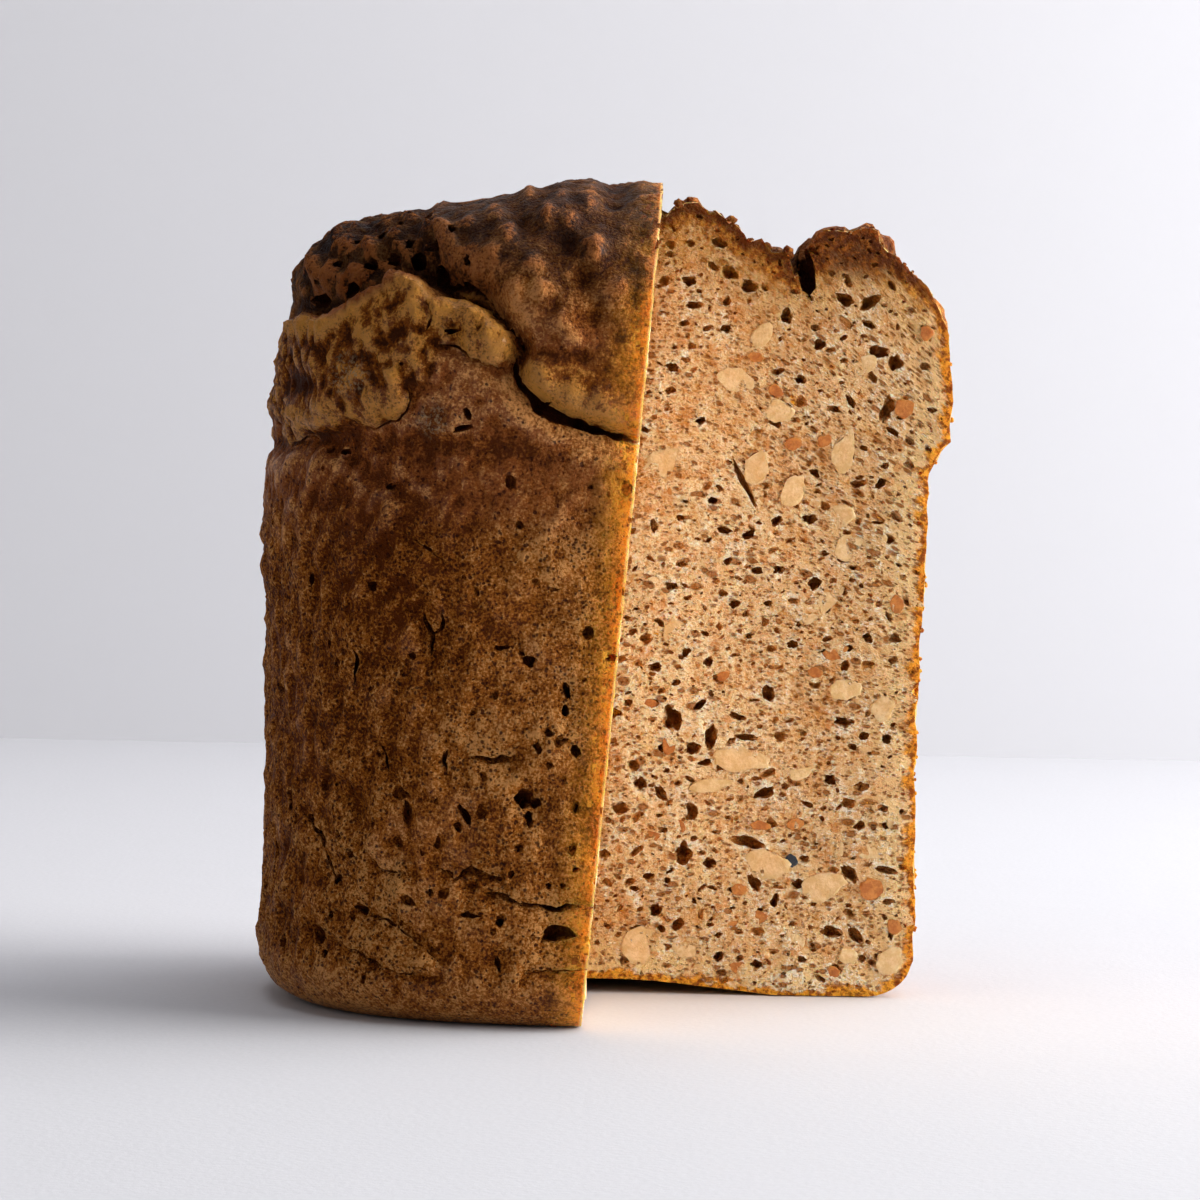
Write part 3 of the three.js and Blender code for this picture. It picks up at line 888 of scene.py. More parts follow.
    # The splits that run over the crown's back, by x and y, and the cleft's deepest line, by x, y and z.
    crown_split: tuple[Point2, ...] = (
        (36.8, -6), (37.4, 2), (35.4, 9), (28, 16), (17, 22), (4, 27), (-10, 28), (-22, 25),
    )
    far_split: tuple[Point2, ...] = ((-20, 8), (-31, 6), (-40, 12), (-46, 24), (-44, 36), (-34, 44))
    cleft: tuple[Point3, ...] = ((36.2, -4, 144), (36.6, 0, 143), (37.2, 6, 142), (36, 14, 141))
    # The pits scattered round the wall: how many places are tried, and how many pits are made at most.
    pit_tries: int = 900
    most_pits: int = 210

    def __post_init__(self) -> None:
        """Starts the body's own draw of random numbers."""
        self.draw = np.random.default_rng(self.seed)
        self.placed_pores: list[tuple[Array, float]] = []

    def build(self) -> Piece:
        """Models the body.

        Returns:
            The finished body, with its attributes and one closed surface.
        """
        body = self.shape_crust()
        self.skin = Bench.tree(body)
        self.crack(body)
        self.pit(body)
        self.cut_quarter(body)
        self.open_pores(body)
        self.crumble_edges(body)
        Bench.thin_out(body, self.most_triangles)
        self.finish_surface(body)
        return body

    def shape_crust(self) -> Piece:
        """Shapes the whole loaf's surface from a gridded cube, and raises its relief."""
        body = Bench.subdivided_cube("loaf", self.form.grid_cuts)
        smooth_points = self.form.lay_grid(Bench.points(body))
        Bench.place(body, smooth_points)
        out = Bench.normals(body)
        lift = self.relief.height(smooth_points, self.creases, self.front_pits)
        raised = smooth_points + out * lift[:, None]
        raised[:, 2] = np.where(smooth_points[:, 2] < 0.05, smooth_points[:, 2], raised[:, 2])
        Bench.place(body, raised)
        Bench.thin_out(body, self.base_triangles)
        thinned = Bench.points(body)
        thinned[:, 2] = np.maximum(thinned[:, 2], 0.0)
        Bench.place(body, thinned)
        return body

    def touch(self, x: float, z: float) -> tuple[Array, Array]:
        """Finds the place on the crust that the front view shows at x, z.

        Args:
            x: How far right, on the plane of the front crust.
            z: How high, on that plane.

        Returns:
            The place and the surface's outward normal there.
        """
        start = Vector(self.relief.eye)
        toward = (Vector((x, self.relief.front_plane, z)) - start).normalized()
        spot, normal, _, _ = self.skin.ray_cast(start, toward)
        if spot is None:
            spot, normal, _, _ = self.skin.find_nearest(Vector((x, -30.0, z)))
        return np.array(spot), np.array(normal)

    def blade(self, spots: list[Array], outs: list[Array], crease: Crease, name: str) -> Piece:
        """Models the uneven blade that cuts one crease.

        Args:
            spots: The crease's places on the crust, in order.
            outs: The outward normals there.
            crease: The crease's width, depth and undercut.
            name: The blade's name.

        Returns:
            The blade, tapered at both ends.
        """
        stretches = [np.linalg.norm(b - a) for a, b in zip(spots, spots[1:])]
        corner_run = np.concatenate([[0], np.cumsum(stretches)])
        rings, sides = max(12, int(corner_run[-1] / 0.8)), 8
        shares = np.linspace(0, corner_run[-1], rings)
        path = np.column_stack([np.interp(shares, corner_run, np.array(spots)[:, k]) for k in range(3)])
        out = np.column_stack([np.interp(shares, corner_run, np.array(outs)[:, k]) for k in range(3)])
        along = np.gradient(path, axis=0)
        along /= np.linalg.norm(along, axis=1)[:, None]
        out -= np.sum(out * along, axis=1)[:, None] * along
        out /= np.linalg.norm(out, axis=1)[:, None]
        across = np.cross(out, along)
        inward = -out + crease.undercut * np.array([0, 0, 1.0])
        inward -= np.sum(inward * along, axis=1)[:, None] * along
        path = path + across * (0.55 * self.noise.layered(path, 3.0, 3))[:, None]
        taper = (1 - np.abs(np.linspace(-1, 1, rings)) ** 2.4) ** 0.8 + 0.02
        width = crease.width / 2 * taper * (1 + 0.75 * self.noise.layered(path + 31, 3.4, 3))
        width = np.maximum(width, 0.07)
        depth = crease.depth * taper * (1 + 0.3 * self.noise.layered(path + 77, 6.0, 2))
        points = []
        for ring in range(rings):
            for side in range(sides):
                turn = 2 * math.pi * side / sides
                reach_in = depth[ring] * (0.5 - 0.5 * math.cos(turn)) - 0.25 * depth[ring]
                sideways = across[ring] * math.sin(turn) * width[ring]
                points.append(path[ring] + sideways + inward[ring] * reach_in)
        points.append(path[0])
        points.append(path[-1])
        faces = []
        for ring in range(rings - 1):
            for side in range(sides):
                a, b = ring * sides + side, ring * sides + (side + 1) % sides
                c, d = b + sides, a + sides
                faces += [(a, b, c), (a, c, d)]
        last, first_tip, last_tip = (rings - 1) * sides, rings * sides, rings * sides + 1
        for side in range(sides):
            after = (side + 1) % sides
            faces += [(first_tip, after, side), (last_tip, last + side, last + after)]
        return Bench.piece_from(name, np.array(points), np.array(faces))

    def crack(self, body: Piece) -> None:
        """Cuts the crust's cracks and folds, and the deep split in the back of the crown."""
        for number, crease in enumerate(self.creases):
            found = [self.touch(x, z) for x, z in crease.line]
            spots, outs = [spot for spot, _ in found], [out for _, out in found]
            Bench.combine(body, self.facing_out(self.blade(spots, outs, crease, f"blade_{number}")))
        for name, line, crease in (
            ("crown_blade", self.crown_split, Crease((), 3.0, 8.0)),
            ("far_blade", self.far_split, Crease((), 2.2, 5.0)),
        ):
            found = [self.skin.ray_cast(Vector((x, y, 200)), Vector((0, 0, -1)))[:2] for x, y in line]
            spots, outs = [np.array(spot) for spot, _ in found], [np.array(out) for _, out in found]
            Bench.combine(body, self.facing_out(self.blade(spots, outs, crease, name)))
        # The cleft beside the burnt knob runs from the crown's edge down and back.
        spots = [np.array(spot, dtype=float) for spot in self.cleft]
        lean = np.array([-0.17, 0.0, 1.0]) / math.hypot(0.17, 1.0)
        cleft = self.blade(spots, [lean] * 4, Crease((), 3.6, 11.0), "cleft_blade")
        Bench.combine(body, self.facing_out(cleft))

    @staticmethod
    def facing_out(tool: Piece) -> Piece:
        """Turns a tool's faces outwards."""
        Bench.hold(tool)
        bpy.ops.object.mode_set(mode="EDIT")
        bpy.ops.mesh.select_all(action="SELECT")
        bpy.ops.mesh.normals_make_consistent(inside=False)
        bpy.ops.object.mode_set(mode="OBJECT")
        return tool

    def pit(self, body: Piece) -> None:
        """Sinks the crust's pits: the front's own ones, and a scatter all round the loaf."""
        batches = [Blobs(self.noise, 2) for _ in range(3)]
        for number, hole in enumerate(self.front_pits):
            spot, out = self.touch(hole.x, hole.z)
            axes = self.surface_axes(out, hole.tilt)
            radii = (hole.across / 2, hole.high / 2, hole.deep)
            batches[number % 2].add(spot + out * 0.1, axes, radii, 0.65)
        taken = []
        for _ in range(self.pit_tries):
            angle, z = self.draw.uniform(0, 2 * math.pi), self.draw.uniform(5, 101)
            size = 0.45 + 0.9 * self.draw.random() ** 3
            start = Vector((150 * math.cos(angle), 150 * math.sin(angle), z))
            spot, out, _, _ = self.skin.ray_cast(start, Vector((-math.cos(angle), -math.sin(angle), 0)))
            if spot is None or len(taken) >= self.most_pits:
                continue
            if spot.x > 6 and spot.y < -4:
                continue
            if any((spot - other).length < reach + 1.6 * size + 0.3 for other, reach in taken):
                continue
            taken.append((spot, 1.6 * size))
            axes = self.surface_axes(np.array(out), self.draw.uniform(-50, 50))
            long = 1 + 0.6 * self.draw.random()
            batches[2].add(np.array(spot), axes, (size, size * long, size * self.draw.uniform(0.8, 1.5)), 0.4)
        for number, batch in enumerate(batches):
            Bench.combine(body, batch.tool(f"pits_{number}"))

    @staticmethod
    def surface_axes(out: Sequence[float], tilt: float) -> Array:
        """Lays out three directions on the surface: across, upwards, and outwards.

        Args:
            out: The surface's outward normal.
            tilt: How many degrees the first two are turned about it.

        Returns:
            The three directions as rows.
        """
        across = np.cross([0, 0, 1.0], out)
        if np.linalg.norm(across) < 0.1:
            across = np.array([1.0, 0, 0])
        across /= np.linalg.norm(across)
        up = np.cross(out, across)
        c, s = math.cos(math.radians(tilt)), math.sin(math.radians(tilt))
        return np.array([c * across + s * up, c * up - s * across, out])

    def cut_quarter(self, body: Piece) -> None:
        """Cuts the quarter out with a block whose two cutting faces are as uneven as torn crumb."""
        Bench.clear_hands()
        low, high, far_x, far_y = -4.0, 160.0, 76.0, -68.0
        bpy.ops.mesh.primitive_cube_add(size=2 * MM)
        block = bpy.context.object
        block.name = "quarter_block"
        corners = Bench.points(block)
        z = np.where(corners[:, 2] > 0, high, low)
        x = np.where(corners[:, 0] > 0, far_x, self.cuts.leaning_x(z))
        y = np.where(corners[:, 1] > 0, self.cuts.straight_y, far_y)
        Bench.place(block, np.column_stack([x, y, z]))
        for face in block.data.polygons:
            face.select = face.normal.y > 0.9 or face.normal.x < -0.9
        bpy.ops.object.mode_set(mode="EDIT")
        bpy.ops.mesh.select_mode(type="FACE")
        bpy.ops.mesh.subdivide(number_cuts=92)
        bpy.ops.mesh.quads_convert_to_tris()
        bpy.ops.object.mode_set(mode="OBJECT")
        points = Bench.points(block)
        on_straight = np.abs(points[:, 1] - self.cuts.straight_y) < 0.01
        on_leaning = np.abs(points[:, 0] - self.cuts.leaning_x(points[:, 2])) < 0.01
        rough = 0.45 * self.noise.layered(points, 24, 2) + 0.30 * self.noise.layered(points, 3.2, 3, 0.7)
        points[:, 1] += np.where(on_straight, rough, 0)
        points[:, 0] -= np.where(on_leaning, self.noise.layered(points + 90, 3.2, 3, 0.7) * 0.28, 0)
        Bench.place(block, points)
        Bench.combine(body, block)

    def pore_batch(
        self, straight: bool, sizes: Sequence[float], detail: int, margin: float, start: list
    ) -> Blobs:
        """Scatters pores over one cut face so that none overlaps another.

        Args:
            straight: Whether the face is the straight cut; else it is the leaning one.
            sizes: The pores' half sizes, placed in this order.
            detail: How finely each pore is modelled.
            margin: How far the pores stay from the crust.
            start: Pores placed already, as centre and reach, which new ones keep clear of.

        Returns:
            The batch of pores.
        """
        blobs = Blobs(self.noise, detail)
        centres = np.array([centre for centre, _ in start]).reshape(-1, 3)
        reaches = np.array([reach for _, reach in start])
        for size in sizes:
            for _ in range(14):
                z = self.draw.uniform(1.5, 150)
                sunk = self.draw.uniform(-0.35, 0.5) * size
                if straight:
                    centre = np.array([self.draw.uniform(-3, 65), self.cuts.straight_y + sunk, z])
                    if centre[0] < self.cuts.leaning_x(z) + 0.4:
                        continue
                else:
                    centre = np.array([self.cuts.leaning_x(z) - sunk, self.draw.uniform(-59, -0.6), z])
                reach = size * 1.5
                if len(centres) and np.min(np.linalg.norm(centres - centre, axis=1) - reaches) < reach + 0.12:
                    continue
                spot, out, _, depth = self.skin.find_nearest(Vector(centre))
                if (Vector(centre) - spot).dot(out) > 0 or depth < reach + margin:
                    continue
                tilt = self.draw.normal(-0.55 * max(centre[0] - 8, 0) * z / 150 if straight else 0, 30)
                long, thin = self.draw.uniform(1.0, 1.45), self.draw.uniform(0.58, 0.98)
                axes = self.surface_axes(self.cuts.straight_out if straight else self.cuts.leaning_out, tilt)
                blobs.add(centre, axes, (size * long, size * thin, size * self.draw.uniform(0.9, 1.5)), 0.55)
                centres = np.vstack([centres, centre])
                reaches = np.append(reaches, reach)
                break
        self.placed_pores = list(zip(centres, reaches))
        return blobs

    def open_pores(self, body: Piece) -> None:
        """Opens the crumb's pores in both cut faces."""
        great = [Blobs(self.noise, 3), Blobs(self.noise, 3)]
        placed = []
        for number, (x, z, length, width, tilt) in enumerate(self.great_pores):
            centre = np.array([x, self.cuts.straight_y + 0.15, z])
            axes = self.surface_axes(self.cuts.straight_out, tilt)
            great[number % 2].add(centre, axes, (length / 2, width / 2, 0.6 * min(length, width) + 1.0), 0.5)
            placed.append((centre, 0.42 * (length + width) / 2 + 0.3))
        for number, batch in enumerate(great):
            Bench.combine(body, batch.tool(f"great_pores_{number}"))
        draw = self.draw
        batches = (
            ("straight", True, 0.42 + 0.85 * draw.random(430) ** 2.2, 2, placed),
            ("straight_small", True, 0.24 + 0.26 * draw.random(620), 1, None),
            ("straight_more", True, 0.40 + 0.55 * draw.random(190) ** 2, 2, []),
            ("leaning", False, 0.6 + 1.5 * draw.random(130) ** 2.4, 2, []),
            ("leaning_small", False, 0.32 + 0.4 * draw.random(300) ** 1.5, 1, None),
        )
        for name, straight, sizes, detail, start in batches:
            kept = self.placed_pores if start is None else start
            batch = self.pore_batch(straight, np.sort(sizes)[::-1], detail, 0.75, kept)
            log.info("%s face: %d pores", name, len(batch.points))
            Bench.combine(body, batch.tool(name))

    def crumble_edges(self, body: Piece) -> None:
        """Nibbles the straight cut's upper edge, and leaves crumbs on it, on the right and at the foot."""
        draw, nibbles, crumbs = self.draw, Blobs(self.noise, 2), Blobs(self.noise, 2)
        spots = []
        x = 9.0
        while x < 60:
            spots.append((Vector((x, draw.uniform(-0.2, 1.2), 200)), Vector((0, 0, -1)), x > 35))
            x += draw.uniform(1.4, 2.6)
        for z in draw.uniform(12, 128, 26):
            spots.append((Vector((120, draw.uniform(0.3, 3.0), z)), Vector((-1, 0, 0)), True))
        for x in draw.uniform(4, 58, 16):
            spots.append((Vector((x, draw.uniform(0.3, 2.0), -20)), Vector((0, 0, 1)), True))
        taken: list[tuple[Vector, float]] = []
        for start, toward, is_small in spots:
            spot, out, _, _ = self.skin.ray_cast(start, toward)
            size = draw.uniform(0.25, 0.55) if is_small else draw.uniform(0.5, 1.15)
            sticks = draw.random() < 0.62 or toward.z != -1
            if spot is None or any((spot - other).length < 1.5 * (size + reach) for other, reach in taken):
                continue
            if toward.z == 1:
                spot = spot + Vector((0, 0, 1.25 * size))
            taken.append((spot, size))
            axes = self.surface_axes(np.array(out), draw.uniform(-60, 60))
            lift = 0.45 * size if sticks else 0.15 * size
            radii = (size * draw.uniform(0.9, 1.5), size, size * draw.uniform(0.7, 1.1))
            (crumbs if sticks else nibbles).add(np.array(spot + out * lift), axes, radii, 0.5)
        Bench.combine(body, nibbles.tool("nibbles"))
        Bench.combine(body, crumbs.tool("crumbs"), Combining.ADD)

    def finish_surface(self, body: Piece) -> None:
        """Smooths the shading, tells crumb from crust, and stores what the finishes read as attributes."""
        mesh = body.data
        mesh.validate()
        points = Bench.points(body)
        ends = np.empty(len(mesh.edges) * 2, dtype=np.int32)
        mesh.edges.foreach_get("vertices", ends)
        one, other = ends[0::2], ends[1::2]
        count = len(points)
        share = np.bincount(ends, minlength=count)[:, None]
        calm = points
        for _ in range(7):
            drawn = [
                np.bincount(one, calm[other, axis], count) + np.bincount(other, calm[one, axis], count)
                for axis in range(3)
            ]
            calm = np.column_stack(drawn) / share
        stands_out = np.sum((points - calm) * Bench.normals(body), axis=1)
        depth = np.array([self.skin.find_nearest(Vector(point))[3] or 0.0 for point in points])
        straight_gap = np.abs(points[:, 1] - self.cuts.straight_y)
        leaning_gap = np.abs(points[:, 0] - self.cuts.leaning_x(points[:, 2]))
        stores: dict[str, Array] = {
            "crust_depth": depth,
            **{name: getattr(self.relief, name)(points) for name in RELIEF_MASKS},
            # Convexity: the finishes paint ridges lighter and hollows darker by it, which is painted
            # highlight and painted shade, and put the crust's coat on ridges.
            "peak": np.clip(0.5 + 0.9 * (stands_out - 0.04), 0, 1),
            "cut_distance": np.minimum(
                np.where(points[:, 0] > self.cuts.leaning_x(points[:, 2]) - 1.2, straight_gap, 99),
                np.where(points[:, 1] < self.cuts.straight_y + 1.2, leaning_gap, 99),
            ),
        }
        for name, values in stores.items():
            layer = mesh.attributes.new(name, "FLOAT", "POINT")
            layer.data.foreach_set("value", values.astype(np.float32))
        faces = len(mesh.polygons)
        centres = np.empty(faces * 3)
        mesh.polygons.foreach_get("center", centres)
        centres = centres.reshape(-1, 3) / MM
        sunk = np.array([self.skin.find_nearest(Vector(centre))[3] or 0.0 for centre in centres])
        on_straight = (np.abs(centres[:, 1]) < 5) & (centres[:, 0] > self.cuts.leaning_x(centres[:, 2]) - 1)
        on_leaning = (np.abs(centres[:, 0] - self.cuts.leaning_x(centres[:, 2])) < 3) & (centres[:, 1] < 1)
        crumb = (sunk > 0.06) & (on_straight | on_leaning)
        mesh.materials.clear()
        mesh.materials.append(CrustFinish().build())
        mesh.materials.append(CrumbFinish().build())
        mesh.polygons.foreach_set("material_index", crumb.astype(np.int32))
        Bench.hold(body)
        bpy.ops.object.shade_smooth_by_angle(angle=math.radians(50))
        log.info("bread body: %d faces, %d of them crumb", faces, int(crumb.sum()))


# --- Finishes ---

class NodeBench:
    """Lays out the nodes of one material or node group."""

    def __init__(self, tree: bpy.types.NodeTree) -> None:
        """Takes an emptied node tree to work on."""
        self.tree = tree

    def add(self, kind: str, **settings: object) -> Node:
        """Adds a node and sets its properties."""
        node = self.tree.nodes.new(kind)
        for name, value in settings.items():
            setattr(node, name, value)
        return node

    def feed(self, node: Node, name: str | int, value: object) -> None:
        """Links a socket into a node's input, or sets the input to a plain value."""
        into = node.inputs[name]
        if isinstance(value, Socket):
            self.tree.links.new(value, into)
        elif hasattr(value, "__len__") and len(into.default_value) == 4:
            into.default_value = (*value, 1.0)
        else:
            into.default_value = value

    def math(self, operation: str, *values: object, clamp: bool = False) -> Socket:
        """Adds a Math node and gives its output."""
        node = self.add("ShaderNodeMath", operation=operation, use_clamp=clamp)
        for number, value in enumerate(values):
            self.feed(node, number, value)
        return node.outputs[0]

    @staticmethod
    def fix(node: Node, values: dict[str, object]) -> None:
        """Sets inputs that are the same all over the surface, on the node's own sockets."""
        for name, value in values.items():
            node.inputs[name].default_value = value

    def times(self, first: object, second: object) -> Socket:
        """Multiplies two values."""
        return self.math("MULTIPLY", first, second)

    def total(self, *parts: tuple[object, float]) -> Socket:
        """Sums values, each times its own weight."""
        result: object = 0.0
        for value, weight in parts:
            result = self.math("MULTIPLY_ADD", value, weight, result)
        return result

    def spread(
        self, value: object, low: float, high: float, to_low: float = 0.0, to_high: float = 1.0
    ) -> Socket:
        """Maps a value's range smoothly onto another, without going past its ends."""
        node = self.add("ShaderNodeMapRange", interpolation_type="SMOOTHSTEP")
        for number, given in enumerate((value, low, high, to_low, to_high)):
            self.feed(node, number, given)
        return node.outputs[0]

    def mix(self, share: object, first: object, second: object) -> Socket:
        """Mixes two colours."""
        node = self.add("ShaderNodeMix", data_type="RGBA", clamp_factor=True)
        for number, value in ((0, share), (6, first), (7, second)):
            self.feed(node, number, value)
        return node.outputs[2]

    def noise(self, where: Socket, grain: float, detail: float = 3.0, rough: float = 0.55) -> Socket:
        """Adds smooth noise whose swells take the given number of millimetres."""
        node = self.add("ShaderNodeTexNoise", noise_dimensions="3D")
        inputs = {"Vector": where, "Scale": 1 / (grain * MM), "Detail": detail, "Roughness": rough}
        for name, value in inputs.items():
            self.feed(node, name, value)
        return node.outputs[0]

    def attribute(self, name: str) -> Socket:
        """Reads one of the mesh's own attributes."""
        return self.add("ShaderNodeAttribute", attribute_name=name).outputs["Fac"]

    def place(self) -> Socket:
        """Gives the place on the piece, in its own coordinates."""
        return self.add("ShaderNodeTexCoord").outputs["Object"]

    def group(self, name: str, **values: object) -> Node:
        """Places a shared node group with its own values."""
        node = self.add("ShaderNodeGroup", node_tree=bpy.data.node_groups[name])
        for key, value in values.items():
            self.feed(node, key, value)
        return node

    def bump(self, shader: Node, height: Socket, depth: float, strength: float = 1.0) -> None:
        """Feeds an unevenness of the given depth, in millimetres, into a shader's normal."""
        node = self.add("ShaderNodeBump")
        self.feed(node, "Height", height)
        node.inputs["Strength"].default_value = strength
        node.inputs["Distance"].default_value = depth * MM
        self.feed(shader, "Normal", node.outputs[0])


class SharedEffects:
    """The node groups that more than one finish uses."""

    @staticmethod
    def new_group(
        name: str, inputs: dict[str, float], outputs: Sequence[str]
    ) -> tuple[NodeBench, Node, Node]:
        """Starts a group with named inputs and outputs.

        Args:
            name: The group's name.
            inputs: Each number input with its usual value; a Place input comes before them.
            outputs: The number outputs' names.

        Returns:
            The bench to lay its nodes out on, its input node and its output node.
        """
        tree = bpy.data.node_groups.new(name, "ShaderNodeTree")
        tree.interface.new_socket("Place", in_out="INPUT", socket_type="NodeSocketVector")
        for key, usual in inputs.items():
            socket = tree.interface.new_socket(key, in_out="INPUT", socket_type="NodeSocketFloat")
            socket.default_value = usual
        for key in outputs:
            tree.interface.new_socket(key, in_out="OUTPUT", socket_type="NodeSocketFloat")
        bench = NodeBench(tree)
        return bench, bench.add("NodeGroupInput"), bench.add("NodeGroupOutput")

    def build(self) -> None:
        """Builds every shared group."""
        self.pinholes()
        self.crumble()

    def pinholes(self) -> None:
        """Makes the group that scatters small uneven holes: Holes is 1 in a hole and 0 between holes."""
        inputs = {"Spacing": 1.0, "Size": 0.3, "Share": 0.6, "Softness": 0.1}
        bench, given, made = self.new_group("pinholes", inputs, ("Holes",))
        scale = bench.math("DIVIDE", 1000.0, given.outputs["Spacing"])
        swirl = bench.add("ShaderNodeTexNoise", noise_dimensions="3D")
        bench.feed(swirl, "Vector", given.outputs["Place"])
        bench.feed(swirl, "Scale", bench.times(scale, 1.7))
        bench.feed(swirl, "Detail", 1.0)
        shift = bench.add("ShaderNodeVectorMath", operation="MULTIPLY_ADD")
        bench.feed(shift, 0, swirl.outputs["Color"])
        shift.inputs[1].default_value = (0.0005, 0.0005, 0.0005)
        bench.feed(shift, 2, given.outputs["Place"])
        cells = bench.add("ShaderNodeTexVoronoi", feature="F1")
        bench.feed(cells, "Vector", shift.outputs[0])
        bench.feed(cells, "Scale", scale)
        lot = bench.add("ShaderNodeSeparateColor")
        bench.feed(lot, 0, cells.outputs["Color"])
        uneven = bench.math("MULTIPLY_ADD", lot.outputs[1], 1.0, 0.5)
        reach = bench.times(given.outputs["Size"], uneven)
        edge = bench.math("SUBTRACT", reach, cells.outputs["Distance"])
        soft = bench.math("DIVIDE", edge, given.outputs["Softness"], clamp=True)
        is_open = bench.math("LESS_THAN", lot.outputs[0], given.outputs["Share"])
        bench.feed(made, "Holes", bench.times(soft, is_open))

    def crumble(self) -> None:
        """Makes the group for a crumbly surface: Height is its unevenness and Specks its scattered flecks."""
        bench, given, made = self.new_group("crumble", {"Grain": 0.8, "Flecks": 0.12}, ("Height", "Specks"))
        scale = bench.math("DIVIDE", 1000.0, given.outputs["Grain"])
        coarse = bench.add("ShaderNodeTexNoise", noise_dimensions="3D")
        inputs = {"Vector": given.outputs["Place"], "Scale": scale, "Detail": 4.0, "Roughness": 0.62}
        for name, value in inputs.items():
            bench.feed(coarse, name, value)
        cells = bench.add("ShaderNodeTexVoronoi", feature="F1")
        bench.feed(cells, "Vector", given.outputs["Place"])
        bench.feed(cells, "Scale", scale)
        lot = bench.add("ShaderNodeSeparateColor")
        bench.feed(lot, 0, cells.outputs["Color"])
        bench.feed(made, "Height", coarse.outputs[0])
        bench.feed(made, "Specks", bench.math("LESS_THAN", lot.outputs[0], given.outputs["Flecks"]))


def new_material(name: str) -> tuple[bpy.types.Material, NodeBench, Node]:
    """Starts a material with a Principled shader.

    Args:
        name: The material's name.

    Returns:
        The material, the bench to lay its nodes out on, and its shader.
    """
    material = bpy.data.materials.new(name)
    material.use_nodes = True
    material.node_tree.nodes.clear()
    bench = NodeBench(material.node_tree)
    shader = bench.add("ShaderNodeBsdfPrincipled")
    out = bench.add("ShaderNodeOutputMaterial")
    material.node_tree.links.new(shader.outputs[0], out.inputs[0])
    return material, bench, shader


